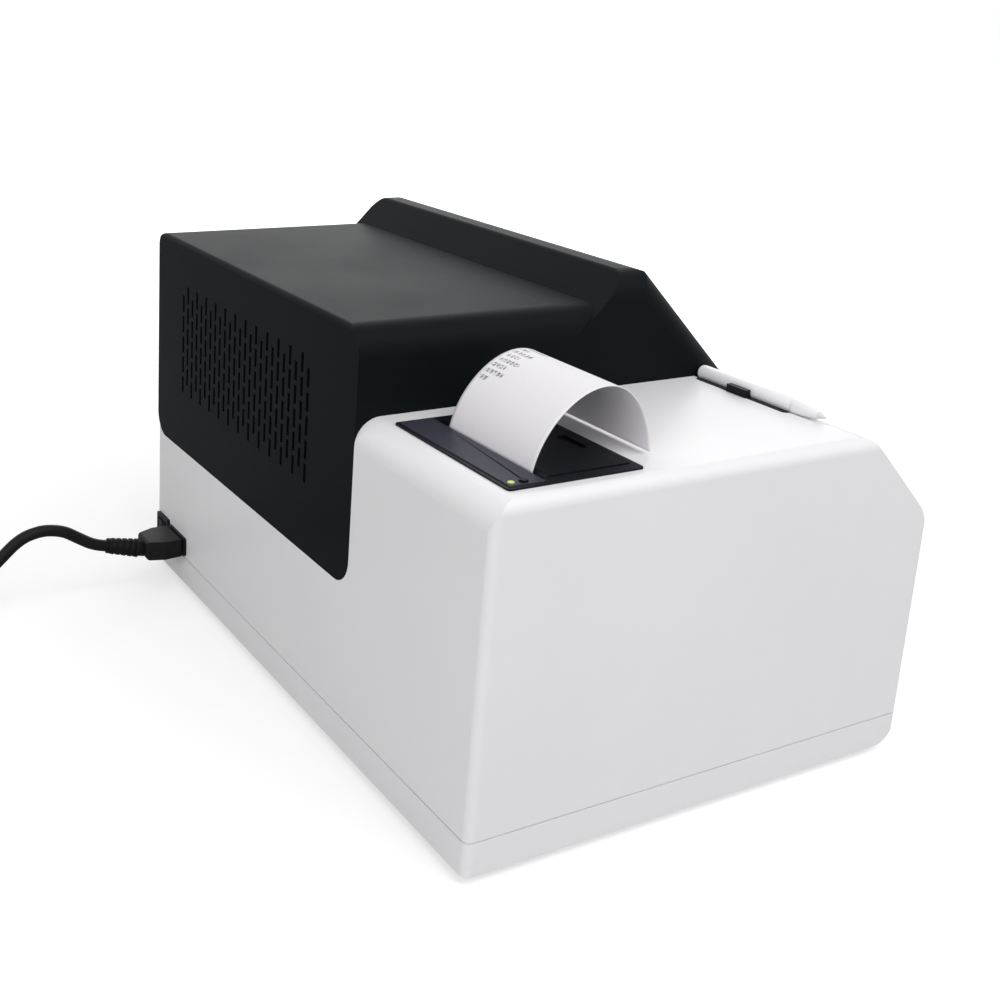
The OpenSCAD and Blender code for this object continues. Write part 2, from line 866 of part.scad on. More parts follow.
// The print head, across the bucket in front of the paper
module print_head() {
    color(zinc)
        lift()
            box(printer_x - bucket_in, printer_x + bucket_in, paper_y - paper_t / 2 - 2.5,
                paper_y - paper_t / 2,
                platen_z - paper_drop, platen_z + 6);
}

module status_led() {
    color([0.72, 0.85, 0.20])
        lift() {
            rod_z(strip_z, block_h + bezel_h + 0.7, led_at.x, led_at.y, led_d / 2);
        }
}

module feed_button() {
    color(black)
        lift()
            rod_z(block_h + 0.9, block_h + bezel_h + 1.2, feed_at.x, feed_at.y, feed_d / 2);
}

// The paper door: its rear edge is a barrel round the hinge, so it swings clear of the paper
module printer_door() {
    color(black)
        lift()
            difference() {
                union() {
                    along_x(printer_x - door_w / 2, printer_x + door_w / 2) {
                        rounded(
                            [[door_y0, hinge_z], [hinge_y, hinge_z], [hinge_y, hinge_z + door_t],
                                [door_y0, hinge_z + door_t]],
                            [0, 0, 0, 0.8]
                        );
                        translate([hinge_y, hinge_z])
                            circle(door_t);
                    }
                    rod_x(printer_x - bucket_in - 1, printer_x + bucket_in + 1, hinge_y, hinge_z, hinge_r);
                }
                translate([printer_x - 7, door_y0 + 5.5, hinge_z + door_t - 1])
                    linear_extrude(5)
                        plate(-8, -2.2, 8, 2.2, 2.1);
            }
}

// The paper from the print head up through the slot: an arch over the door, and a tail under it
module paper_strip() {
    line = concat(
        [[paper_y, platen_z - paper_drop]],
        [for (i = [0:arch_steps]) bezier(arch, i / arch_steps)]
    );
    normal = concat([[paper_t / 2, 0]], [
        for (i = [0:arch_steps])
            let (v = unit(bezier_dir(arch, i / arch_steps))) [v.y, -v.x] * paper_t / 2
    ]);
    last = len(line) - 1;
    color([0.95, 0.94, 0.97])
        lift()
            along_x(printer_x - paper_w / 2, printer_x + paper_w / 2)
                polygon(concat(
                    [for (i = [0:last]) line[i] + normal[i]],
                    [for (i = [last:-1:0]) line[i] - normal[i]]
                ));
}

module platen_roller() {
    color(dark)
        lift() {
            rod_x(printer_x - paper_w / 2, printer_x + paper_w / 2, platen_y, platen_z, platen_r);
            rod_x(printer_x - bucket_in - 1, printer_x + bucket_in + 1, platen_y, platen_z, hinge_r);
            rod_x(printer_x + paper_w / 2 + 2, printer_x + paper_w / 2 + 5, platen_y, platen_z, platen_r);
        }
}

module paper_roll() {
    color([0.94, 0.93, 0.95])
        lift() {
            rod_x(printer_x - paper_w / 2, printer_x + paper_w / 2, roll_y, roll_z, roll_r);
            rod_x(printer_x - bucket_in + 0.5, printer_x + bucket_in - 0.5, roll_y, roll_z, spindle_r);
            rod_x(printer_x - bucket_in - 1, printer_x + bucket_in + 1, roll_y, roll_z, hinge_r);
        }
}

// Stylus

module stylus() {
    color(white)
        lift()
            translate([stylus_x1, stylus_y, stylus_z])
                rotate([0, -90, 0])
                    rotate_extrude() {
                        polygon([
                            [0, 0], [stylus_r * 0.6, 0], [stylus_r, stylus_r * 0.5],
                            [stylus_r, stylus_l - stylus_tip],
                            [stylus_r * 0.86, stylus_l - stylus_tip * 0.55],
                            [stylus_r * 0.6, stylus_l - stylus_tip * 0.22],
                            [stylus_r * 0.3, stylus_l - stylus_tip * 0.04], [0, stylus_l]
                        ]);
                    }
}

// The plate under the pen; the case top has a pocket of this shape
module stylus_rest(gap, rise) {
    translate([0, 0, block_h - rest_t])
        linear_extrude(rest_t + rise)
            plate(rest_x0 - gap, stylus_y - rest_front - gap, rest_x1 + gap, stylus_y + rest_side + gap,
                2 + gap);
}

module stylus_clip() {
    color(black)
        lift()
            difference() {
                union() {
                    stylus_rest(0, rest_rise);
                    difference() {
                        box(clip_x - clip_l / 2, clip_x + clip_l / 2, stylus_y - clip_front,
                            stylus_y + clip_side, block_h - 6, stylus_z + clip_rise);
                        block();
                    }
                }
                rod_x(-far, far, stylus_y, stylus_z, stylus_r + slide_gap);
                box(-far, far, stylus_y - stylus_r - slide_gap, stylus_y + stylus_r + slide_gap, stylus_z,
                    far);
            }
}

// Chassis

module chassis_plate() {
    color(zinc)
        lift()
            difference() {
                translate([0, 0, chassis_z])
                    linear_extrude(chassis_t)
                        plate(left_x + chassis_inset_x, front_y + chassis_inset_y,
                            right_x - chassis_inset_x,
                            body_d / 2 - chassis_inset_y, 3);
                for (p = chassis_points)
                    rod_z(0, far, p.x, p.y, screw_r + 0.2);
            }
}

module chassis_screws() {
    color(steel)
        lift()
            for (p = chassis_points) {
                rod_z(chassis_top, chassis_top + screw_head_h, p.x, p.y, screw_head_r);
                rod_z(floor_t + 1, chassis_top, p.x, p.y, screw_r);
            }
}

// Drawer

module drawer_front() {
    color(white)
        lift()
            difference() {
                along_y(front_y, front_y + front_t)
                    plate(bay_x - front_w / 2, front_z, bay_x + front_w / 2, front_z + front_h, 2);
                rod_x(bay_x - grip_w / 2, bay_x + grip_w / 2, front_y + grip_depth - grip_r,
                    front_z + front_h / 2, grip_r);
            }
}

module strip_tray() {
    color([0.80, 0.82, 0.84])
        lift()
            difference() {
                box(bay_x - tray_w / 2, bay_x + tray_w / 2, tray_y0, tray_y1, tray_z, tray_top);
                for (i = [0:lane_count - 1])
                    translate([bay_x + (i - (lane_count - 1) / 2) * lane_pitch, 0, tray_top - lane_depth])
                        linear_extrude(far)
                            plate(-lane_w / 2, tray_y0 + 8, lane_w / 2, tray_y1 - 8, 3);
            }
}

module drawer_runners() {
    color(steel)
        lift()
            for (s = [-1, 1])
                translate([bay_x + s * (tray_w / 2 + runner_t / 2), 0, 0])
                    box(-runner_t / 2, runner_t / 2, runner_y0, runner_y1, runner_z, runner_z + runner_h);
}

// One rail, for the right side: a channel round the runner, its web and its foot on the chassis
module rail() {
    z0 = runner_z - slide_gap - sheet;
    z1 = runner_z + runner_h + slide_gap + sheet;
    box(rail_in, rail_in + sheet, rail_y0, rail_y1, chassis_top, z1);
    box(tray_w / 2 + slide_gap, rail_in, rail_y0, rail_y1, z0, z0 + sheet);
    box(tray_w / 2 + slide_gap, rail_in, rail_y0, rail_y1, z1 - sheet, z1);
    box(rail_in - 12, rail_in, rail_y0 + 10, rail_y1, chassis_top, chassis_top + sheet);
}

module drawer_rails() {
    color(zinc)
        lift()
            translate([bay_x, 0, 0]) {
                rail();
                mirror([1, 0, 0])
                    rail();
            }
}

// Brings the tray's pull to the belt: a plate on the runner's tail, an arm over the rail, a grip
module drawer_clamp() {
    x0 = bay_x - tray_w / 2;
    arm_z = runner_z + runner_h + slide_gap + sheet + 1;
    run_z = drawer_belt_z + belt_in;
    color(dark)
        lift()
            difference() {
                union() {
                    box(x0, x0 + 3, clamp_y - clamp_w / 2, clamp_y + clamp_w / 2, runner_z, arm_z + 3);
                    box(drawer_belt_x - belt_w / 2 - 2, x0 + 3, clamp_y - clamp_w / 2,
                        clamp_y + clamp_w / 2, arm_z,
                        arm_z + 3);
                    box(drawer_belt_x - belt_w / 2 - 2, drawer_belt_x + belt_w / 2 + 2,
                        clamp_y - clamp_w / 2,
                        clamp_y + clamp_w / 2, run_z - 4, arm_z + 1);
                }
                box(drawer_belt_x - belt_w / 2 - slide_gap, drawer_belt_x + belt_w / 2 + slide_gap,
                    clamp_y - clamp_w, clamp_y + clamp_w, run_z - slide_gap, run_z + belt_t + slide_gap);
            }
}

// Belt drives

module in_drawer_drive() {
    translate([drawer_belt_x, drawer_belt_y0, drawer_belt_z])
        rotate([0, 0, 90])
            children();
}

module in_head_drive() {
    translate([head_belt_x0, head_belt_y, head_belt_z])
        children();
}

module belt(l) {
    along_y(-belt_w / 2, belt_w / 2)
        difference() {
            union() {
                plate(0, -belt_out, l, belt_out);
                circle(belt_out);
                translate([l, 0])
                    circle(belt_out);
            }
            plate(0, -belt_in, l, belt_in);
            circle(belt_in);
            translate([l, 0])
                circle(belt_in);
        }
}

// A flanged pulley at local x; tail is how far its own shaft reaches behind it
module pulley(x, tail) {
    w = pulley_w / 2;
    difference() {
        union() {
            rod_y(-w, w, x, 0, pulley_r);
            rod_y(-w - flange_t, -w, x, 0, flange_r);
            rod_y(w, w + flange_t, x, 0, flange_r);
            if (tail > 0)
                rod_y(0, tail, x, 0, shaft_d / 2);
        }
        if (tail == 0)
            rod_y(-far, far, x, 0, shaft_d / 2 + run_gap);
    }
}

module motor(x) {
    difference() {
        union() {
            along_y(bracket_y + bracket_t, bracket_y + bracket_t + motor_l)
                plate(x - motor_w / 2, -motor_w / 2, x + motor_w / 2, motor_w / 2, 3);
            rod_y(bracket_y + 0.5, bracket_y + bracket_t, x, 0, motor_w * 0.3);
        }
        rod_y(0, bracket_y + bracket_t + motor_l - 4, x, 0, shaft_d / 2 + run_gap);
    }
}

// Two bracket plates with feet on the chassis: one carries the idler pin, one the motor
module brackets(l, foot_z) {
    difference() {
        box(l - motor_half, l + motor_half, bracket_y, bracket_y + bracket_t, foot_z, motor_half);
        rod_y(0, far, l, 0, motor_w * 0.3 + 0.2);
    }
    box(l - motor_half, l + motor_half, -belt_w, bracket_y, foot_z, foot_z + 2);
    box(-idler_half, idler_half, bracket_y, bracket_y + bracket_t, foot_z, idler_half);
    box(-idler_half, idler_half, -belt_w, bracket_y, foot_z, foot_z + 2);
    rod_y(-pulley_w / 2 - flange_t - 1, bracket_y, 0, 0, shaft_d / 2);
}

module drawer_brackets() {
    color(zinc)
        lift()
            in_drawer_drive()
                brackets(drawer_belt_l, chassis_top - drawer_belt_z);
}

module drawer_motor() {
    color(dark)
        lift()
            in_drawer_drive()
                motor(drawer_belt_l);
}

module drawer_pulley() {
    color(steel)
        lift()
            in_drawer_drive()
                pulley(drawer_belt_l, bracket_y + bracket_t + motor_l - 6);
}

module drawer_idler() {
    color(steel)
        lift()
            in_drawer_drive()
                pulley(0, 0);
}

module drawer_belt() {
    color(black)
        lift()
            in_drawer_drive()
                belt(drawer_belt_l);
}

module head_brackets() {
    color(zinc)
        lift()
            in_head_drive()
                brackets(head_belt_l, chassis_top - head_belt_z);
}

module head_motor() {
    color(dark)
        lift()
            in_head_drive()
                motor(head_belt_l);
}

module head_pulley() {
    color(steel)
        lift()
            in_head_drive()
                pulley(head_belt_l, bracket_y + bracket_t + motor_l - 6);
}

module head_idler() {
    color(steel)
        lift()
            in_head_drive()
                pulley(0, 0);
}

module head_belt() {
    color(black)
        lift()
            in_head_drive()
                belt(head_belt_l);
}

// Reading head

module rod_brackets() {
    color(zinc)
        lift()
            difference() {
                for (x = [rod_x0, rod_x1 - plate_t]) {
                    box(x, x + plate_t, rod_y[0] - 12, rod_y[1] + 12, chassis_top, rod_z + 12);
                    box(x - 6, x + plate_t, rod_y[0] - 12, rod_y[1] + 12, chassis_top, chassis_top + sheet);
                }
                for (y = rod_y)
                    rod_x(-far, far, y, rod_z, rod_d / 2 + 0.05);
            }
}

module guide_rods() {
    color(steel)
        lift()
            for (y = rod_y)
                rod_x(rod_x0, rod_x1, y, rod_z, rod_d / 2);
}

module head_carriage() {
    run_z = head_belt_z + belt_in;
    color(dark)
        lift()
            difference() {
                union() {
                    box(bay_x - carriage_w / 2, bay_x + carriage_w / 2, carriage_y - carriage_d / 2,
                        carriage_y + carriage_d / 2, rod_z - carriage_h / 2, rod_z + carriage_h / 2);
                    box(bay_x - head_clamp_w / 2, bay_x + head_clamp_w / 2, carriage_y + carriage_d / 2 - 1,
                        head_belt_y + belt_w / 2 + 2, run_z - 3, run_z + belt_t + 3);
                }
                for (y = rod_y)
                    rod_x(-far, far, y, rod_z, rod_d / 2 + run_gap);
                rod_z(0, far, bay_x, carriage_y, detector_d / 2 + 0.1);
                box(bay_x - head_clamp_w, bay_x + head_clamp_w, head_belt_y - belt_w / 2 - slide_gap,
                    head_belt_y + belt_w / 2 + slide_gap,
                    run_z - slide_gap, run_z + belt_t + slide_gap);
            }
}

module detector_housing() {
    color(black)
        lift()
            difference() {
                union() {
                    rod_z(detector_z, detector_z + detector_h, bay_x, carriage_y, detector_d / 2);
                    rod_z(rod_z + carriage_h / 2, rod_z + carriage_h / 2 + 3, bay_x, carriage_y,
                        detector_d / 2 + 3);
                }
                rod_z(0, detector_z + detector_h - 3, bay_x, carriage_y, window_d / 2);
            }
}

module detector_window() {
    color([0.45, 0.55, 0.62])
        lift()
            rod_z(detector_z + 1, detector_z + 4, bay_x, carriage_y, window_d / 2);
}

// Fan behind the grille

module fan_frame() {
    color(black)
        lift()
            translate([fan_x, fan_y1, grille_z])
                difference() {
                    union() {
                        difference() {
                            along_y(-fan_t, 0)
                                plate(-fan_w / 2, -fan_w / 2, fan_w / 2, fan_w / 2, 4);
                            rod_y(-far, far, 0, 0, fan_bore_r);
                        }
                        rod_y(-fan_t + 0.2, -fan_t + 3, 0, 0, fan_hub_r);
                        for (a = [0, 120, 240])
                            rotate([0, a + 15, 0])
                                box(fan_hub_r - 1, fan_bore_r + 0.6, -fan_t + 0.5, -fan_t + 2.5, -1.5, 1.5);
                    }
                    rod_y(-far, far, 0, 0, shaft_d / 2 + run_gap);
                    for (sx = [-1, 1])
                        for (sz = [-1, 1])
                            rod_y(-far, far, sx * fan_pitch / 2, sz * fan_pitch / 2, fan_screw_r + 0.1);
                }
}

module fan_rotor() {
    blades = 7;
    color(dark)
        lift()
            translate([fan_x, fan_y1, grille_z]) {
                rod_y(-fan_t + 3.4, -1, 0, 0, fan_hub_r);
                rod_y(-fan_t + 0.5, -fan_t + 4, 0, 0, shaft_d / 2);
                intersection() {
                    for (i = [0:blades - 1])
                        rotate([0, i * 360 / blades, 0])
                            translate([0, -fan_t / 2 + 1.2, 0])
                                rotate([0, 0, 0])
                                    rotate([38, 0, 0])
                                        box(fan_hub_r - 1.5, fan_w, -0.7, 0.7, -9, 9);
                    rod_y(-fan_t + 3.6, -1.2, 0, 0, fan_bore_r - 0.8);
                }
            }
}

module fan_screws() {
    color(steel)
        lift()
            for (sx = [-1, 1])
                for (sz = [-1, 1])
                    translate([fan_x + sx * fan_pitch / 2, fan_y1, grille_z + sz * fan_pitch / 2]) {
                        rod_y(-fan_t - 2, -fan_t, 0, 0, fan_screw_r + 1.6);
                        rod_y(-fan_t, 4, 0, 0, fan_screw_r);
                    }
}

// Rear panel

module power_inlet() {
    w = inlet_w / 2;
    h = inlet_h / 2;
    b = inlet_border;
    color(black)
        lift()
            on_rear(inlet_x, inlet_z) {
                difference() {
                    union() {
                        along_y(0, flange_thick)
                            plate(-w, -h, w, h, 1.5);
                        box(-w + b + 0.2, w - b - 0.2, -inlet_depth, 0.5, -h + b + 0.2, h - b - 0.2);
                    }
                    box(-w + b + inlet_wall, w - b - inlet_wall, -inlet_depth + 3, far, -h + b + inlet_wall,
                        h - b - inlet_wall);
                }
                for (x = [-inlet_pin, inlet_pin])
                    rod_y(-inlet_depth + 2, -4, x, 0, 1.2);
            }
}

module switch_housing() {
    w = switch_w / 2;
    h = switch_h / 2;
    color(black)
        lift()
            on_rear(switch_x, switch_z)
                difference() {
                    union() {
                        along_y(0, flange_thick)
                            plate(-w, -h, w, h, 1.2);
                        box(-w + 1.2, w - 1.2, -16, 0.5, -h + 1.2, h - 1.2);
                    }
                    box(-w + 2.2, w - 2.2, -11, far, -h + 2.2, h - 2.2);
                    rod_z(-h + 1.6, h - 1.6, 0, -1.5, 1 + run_gap);
                }
}

module switch_rocker() {
    w = switch_w / 2 - 2.2 - slide_gap;
    h = switch_h / 2 - 2.2 - slide_gap;
    color(black)
        lift()
            on_rear(switch_x, switch_z)
                translate([0, -1.5, 0])
                    rotate([0, 0, rocker_tilt]) {
                        translate([0, 0, -h])
                            linear_extrude(2 * h)
                                polygon([
                                    [-3, -2], [3, -2], [w - 0.6, 0.5], [w - 0.9, 2.6], [0, 3.6],
                                    [-w + 0.9, 2.6], [-w + 0.6, 0.5]
                                ]);
                        rod_z(-h - slide_gap - 0.4, h + slide_gap + 0.4, 0, 0, 1);
                    }
}

unit_inset = 16;
board_w = 66;
board_l = 68;
board_x = left_x + unit_inset;
board_front = 19;
board_y = front_y + board_front;
board_t = 1.6;
standoff_h = 6;
supply_w = 66;
supply_h = 38;
supply_gap = 11;
supply_back = 28;
vent_pitch = 8;
vent_border = 13;

module power_supply() {
    x0 = left_x + unit_inset;
    y0 = board_y + board_l + supply_gap;
    l = body_d / 2 - supply_back - y0;
    z1 = chassis_top + supply_h;
    color(zinc)
        lift()
            difference() {
                box(x0, x0 + supply_w, y0, y0 + l, chassis_top, z1);
                for (i = [0:(l - 2 * vent_border) / vent_pitch])
                    translate([0, y0 + vent_border + i * vent_pitch, 0])
                        box(x0 + vent_border, x0 + supply_w - vent_border, 0, vent_pitch / 2, z1 - 2, far);
            }
}

chip_at = [20, 22];
chip_w = 24;
chip_t = 2.2;
header_at = [8, 4];
header_w = 10;
header_l = 7;
header_h = 8;
header_pitch = 13;
can_at = [14, 57];
can_r = 4;
can_h = 11;
can_pitch = 12;

// The board with its main chip, a row of plug headers and three capacitors
module main_board() {
    z0 = chassis_top + standoff_h;
    z1 = z0 + board_t;
    color(green)
        lift()
            translate([board_x, board_y, 0]) {
                box(0, board_w, 0, board_l, z0, z1);
                box(chip_at.x, chip_at.x + chip_w, chip_at.y, chip_at.y + chip_w, z1, z1 + chip_t);
                for (i = [0:3])
                    translate([header_at.x + i * header_pitch, header_at.y, 0])
                        box(0, header_w, 0, header_l, z1, z1 + header_h);
                for (i = [0:2])
                    rod_z(z1, z1 + can_h, can_at.x + i * can_pitch, can_at.y, can_r);
            }
}

module board_standoffs() {
    color(steel)
        lift()
            for (x = [4, board_w - 4])
                for (y = [14, board_l - 4])
                    rod_z(chassis_top, chassis_top + standoff_h, board_x + x, board_y + y, 3);
}

// Mains lead

// The connector in the inlet, with a ribbed strain relief that bends upwards
module lead_connector() {
    w = inlet_w / 2 - inlet_border - inlet_wall - set_gap;
    h = inlet_h / 2 - inlet_border - inlet_wall - set_gap;
    color(dark)
        lift()
            on_rear(inlet_x, inlet_z) {
                difference() {
                    union() {
                        along_y(-inlet_depth + 4, flange_thick + 2)
                            plate(-w, -h, w, h, 1.5);
                        intersection() {
                            along_x(-connector_w / 2, connector_w / 2)
                                rounded(
                                    [[flange_thick + 0.3, -connector_t / 2], [connector_l, connector_end[0]],
                                        [connector_l, connector_end[1]],
                                        [flange_thick + 0.3, connector_t / 2]],
                                    [1, 2, 2, 1]
                                );
                            translate([0, 0, -far / 2])
                                linear_extrude(far)
                                    rounded(
                                        [[-connector_w / 2, flange_thick + 0.3], [connector_w / 2,
                                            flange_thick + 0.3],
                                            [connector_w / 2, connector_l * 0.55], [7, connector_l],
                                            [-7, connector_l], [-connector_w / 2, connector_l * 0.55]],
                                        [1, 1, 3, 2, 2, 3]
                                    );
                        }
                    }
                    for (x = [-inlet_pin, inlet_pin])
                        rod_y(-far, -3, x, 0, 1.6);
                }
                translate([0, connector_l - 1, -relief_drop])
                    rotate([relief_tilt - 90, 0, 0]) {
                        cylinder(r1 = relief_r, r2 = cord_r + 0.9, h = relief_l);
                        for (i = [1:5])
                            translate([0, 0, i * 3.2 + 0.6])
                                cylinder(r1 = relief_r + 0.9 - i * 0.16, r2 = relief_r + 0.7 - i * 0.16,
                                    h = 1.5);
                    }
            }
}

// Directions along a row of points
function heading(p, i) = unit(p[min(i + 1, len(p) - 1)] - p[max(i - 1, 0)]);
function ring(p, i, r, sides) =
    let (t = heading(p, i), side = unit(cross(t, [0, 0, 1])), up = cross(side, t))
    [for (j = [0:sides - 1]) p[i] + r * (cos(j * 360 / sides) * side + sin(j * 360 / sides) * up)];

// A tube of triangles along a row of points
module tube(p, r, sides) {
    n = len(p);
    polyhedron(
        points = [for (i = [0:n - 1]) each ring(p, i, r, sides)],
        faces = concat(
            [for (i = [0:n - 2]) for (j = [0:sides - 1])
                [i * sides + j, (i + 1) * sides + j, i * sides + (j + 1) % sides]],
            [for (i = [0:n - 2]) for (j = [0:sides - 1])
                [(i + 1) * sides + j, (i + 1) * sides + (j + 1) % sides, i * sides + (j + 1) % sides]],
            [for (j = [1:sides - 2]) [0, j, j + 1]],
            [for (j = [1:sides - 2]) [(n - 1) * sides, (n - 1) * sides + j + 1, (n - 1) * sides + j]]
        )
    );
}

module cord_lead() {
    color(black)
        tube(lead_points, cord_r, 10);
}

// The coil spirals in on the table, climbs a layer in the middle half turn and spirals out on top
function coil_radius(t) = coil_r - coil_step * (coil_turns / 2 - abs(t - coil_turns / 2));
function coil_climb(t) = min(1, max(0, (t - coil_turns / 2) * 2 + 0.5));
function coil_height(t) = coil_z + coil_lift * (1 - cos(180 * coil_climb(t))) / 2;
function coil_point(t) = [
    coil_at.x + coil_radius(t) * cos(180 - 360 * t), coil_at.y + coil_radius(t) * sin(180 - 360 * t),
    coil_height(t)
];
coil_end = coil_point(coil_turns);
coil_points = concat(
    [[coil_at.x - coil_r, coil_at.y - cord_d, coil_z]],
    [for (i = [0:coil_n]) coil_point(i / coil_rings)],
    [coil_end + [cord_d, 0, 0]]
);
coil_gap = min([
    for (i = [0:coil_n]) for (j = [i + round(coil_rings * 0.6):coil_n])
        norm(coil_points[i + 1] - coil_points[j + 1]) - cord_d
]);
echo(coil_gap = coil_gap);

module cord_coil() {
    color(black)
        tube(coil_points, cord_r, 6);
}

// A flat strap round all turns at the right of the coil
module cord_tie() {
    r0 = coil_r - coil_step * coil_turns / 2 - cord_r - 0.8;
    r1 = coil_r + cord_r + 0.6;
    z0 = tie_t;
    z1 = coil_z + coil_lift + cord_r + 0.3;
    color(dark)
        translate([coil_at.x, coil_at.y, 0])
            along_y(-4.5, 4.5)
                difference() {
                    plate(r0 - tie_t, z0 - tie_t, r1 + tie_t, z1 + tie_t, 2);
                    plate(r0, z0, r1, z1, 1);
                }
}

// A mains plug with two flat blades, lying beside the coil
module mains_plug() {
    z = coil_end.z;
    x0 = coil_end.x + cord_d - 1;
    x1 = x0 + plug_relief_l;
    x2 = x1 + plug_body_l;
    color(dark)
        translate([0, coil_end.y, z]) {
            translate([x0, 0, 0])
                rotate([0, 90, 0])
                    cylinder(r1 = cord_r + 0.8, r2 = 6.5, h = plug_relief_l);
            for (i = [1:4])
                rod_x(x0 + i * 3.6, x0 + i * 3.6 + 1.6, 0, 0, cord_r + 1.4 + i * 0.5);
            intersection() {
                along_x(x1 - 1, x2)
                    plate(-13, -z, 13, z, 4);
                translate([0, 0, -far / 2])
                    linear_extrude(far)
                        rounded(
                            [[x1 - 1, -7], [x1 + 16, -13], [x2, -13], [x2, 13], [x1 + 16, 13], [x1 - 1, 7]],
                            [2, 5, 1.5, 1.5, 5, 2]
                        );
            }
        }
    color(steel)
        translate([x2 - 1, coil_end.y, z])
            for (y = [-6.35, 6.35])
                box(0, 18, y - 0.8, y + 0.8, -3.1, 3.1);
}

base_tray();
rubber_feet();
body_shell();
case_screws();
hood();
touch_glass();
screen_gasket();
lcd_panel();
printer_frame();
printer_strip();
print_head();
status_led();
feed_button();
printer_door();
paper_strip();
platen_roller();
paper_roll();
stylus();
stylus_clip();
chassis_plate();
chassis_screws();
drawer_front();
strip_tray();
drawer_runners();
drawer_clamp();
drawer_rails();
drawer_brackets();
drawer_motor();
drawer_pulley();
drawer_idler();
drawer_belt();
rod_brackets();
guide_rods();
head_carriage();
detector_housing();
detector_window();
head_brackets();
head_motor();
head_pulley();
head_idler();
head_belt();
fan_frame();
fan_rotor();
fan_screws();
power_inlet();
switch_housing();
switch_rocker();
power_supply();
main_board();
board_standoffs();
lead_connector();
cord_lead();
cord_coil();
cord_tie();
mains_plug();
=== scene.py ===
import math

import bmesh
import bpy
from mathutils import Matrix, Vector


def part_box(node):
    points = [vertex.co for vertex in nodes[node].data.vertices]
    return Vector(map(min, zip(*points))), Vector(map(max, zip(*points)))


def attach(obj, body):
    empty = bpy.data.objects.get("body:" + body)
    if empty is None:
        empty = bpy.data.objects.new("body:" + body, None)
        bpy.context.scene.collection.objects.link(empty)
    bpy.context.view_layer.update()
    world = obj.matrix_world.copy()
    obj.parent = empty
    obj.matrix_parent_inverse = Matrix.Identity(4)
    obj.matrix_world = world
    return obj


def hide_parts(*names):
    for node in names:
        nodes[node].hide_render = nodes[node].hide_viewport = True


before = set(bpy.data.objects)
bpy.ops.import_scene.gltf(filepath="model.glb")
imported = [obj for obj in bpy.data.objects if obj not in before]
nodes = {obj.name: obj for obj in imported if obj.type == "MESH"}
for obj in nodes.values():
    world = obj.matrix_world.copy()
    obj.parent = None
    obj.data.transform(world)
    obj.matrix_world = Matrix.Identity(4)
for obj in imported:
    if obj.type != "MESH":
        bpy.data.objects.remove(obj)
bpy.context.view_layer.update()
scene = bpy.context.scene
scene.view_settings.view_transform = "Standard"
mm = 0.001
print("frame loaded:", len(nodes), "nodes")

# camera: low three-quarter view on the rear and the printer side
cameraSetup = {
    "place": (-0.51305, 0.33676, 0.30517),
    "azimuth": 238.98,
    "elevation": 18.31,
    "roll": 2.55,
    "lens": 49.2,
    "shift": (0.06, -0.056),
}


def makeCamera(setup):
    az, el, roll = (math.radians(setup[k]) for k in ("azimuth", "elevation", "roll"))
    back = Vector((math.sin(az) * math.cos(el), -math.cos(az) * math.cos(el), math.sin(el)))
    side = (-back).cross(Vector((0, 0, 1))).normalized()
    rise = side.cross(-back)
    right = math.cos(roll) * side + math.sin(roll) * rise
    up = -math.sin(roll) * side + math.cos(roll) * rise
    data = bpy.data.cameras.new("studioCamera")
    data.sensor_width = 36
    data.lens = setup["lens"]
    data.shift_x, data.shift_y = setup["shift"]
    data.clip_start = 0.02
    cam = bpy.data.objects.new("studioCamera", data)
    turn = Matrix((right, up, back)).transposed().to_4x4()
    cam.matrix_world = Matrix.Translation(setup["place"]) @ turn
    scene.collection.objects.link(cam)
    scene.camera = cam


makeCamera(cameraSetup)


# shader helpers

def newMaterial(name):
    mat = bpy.data.materials.new(name)
    mat.use_nodes = True
    tree = mat.node_tree
    return mat, tree, tree.nodes["Principled BSDF"]


def addNode(tree, kind, **values):
    node = tree.nodes.new(kind)
    for key, value in values.items():
        if hasattr(node, key):
            setattr(node, key, value)
        else:
            node.inputs[key].default_value = value
    return node


def makeGroup(name, inputs, outputs):
    group = bpy.data.node_groups.new(name, "ShaderNodeTree")
    for label, kind, value in inputs:
        socket = group.interface.new_socket(label, in_out="INPUT", socket_type=kind)
        if value is not None:
            socket.default_value = value
    for label, kind in outputs:
        group.interface.new_socket(label, in_out="OUTPUT", socket_type=kind)
    return group, group.nodes.new("NodeGroupInput"), group.nodes.new("NodeGroupOutput")


def sums(tree, operation, first, second=None):
    node = tree.nodes.new("ShaderNodeMath")
    node.operation = operation
    for slot, value in enumerate((first, second)):
        if value is None:
            continue
        if isinstance(value, (int, float)):
            node.inputs[slot].default_value = value
        else:
            tree.links.new(value, node.inputs[slot])
    return node.outputs["Value"]


def ramp(tree, value, source=(0, 1), target=(0, 1), smooth=False):
    node = tree.nodes.new("ShaderNodeMapRange")
    if smooth:
        node.interpolation_type = "SMOOTHSTEP"
    for label, end in zip(("From Min", "From Max", "To Min", "To Max"), (*source, *target)):
        if isinstance(end, (int, float)):
            node.inputs[label].default_value = end
        else:
            tree.links.new(end, node.inputs[label])
    tree.links.new(value, node.inputs["Value"])
    return node.outputs["Result"]


def between(tree, value, low, high, soft):
    rise = ramp(tree, value, (low - soft, low + soft), smooth=True)
    fall = ramp(tree, value, (high - soft, high + soft), (1, 0), smooth=True)
    return sums(tree, "MULTIPLY", rise, fall)


def blend(tree, factor, first, second):
    node = addNode(tree, "ShaderNodeMix", data_type="RGBA")
    tree.links.new(factor, node.inputs["Factor"])
    for label, tone in (("A", first), ("B", second)):
        if isinstance(tone, tuple):
            node.inputs[label].default_value = (*tone, 1)
        else:
            tree.links.new(tone, node.inputs[label])
    return node.outputs["Result"]


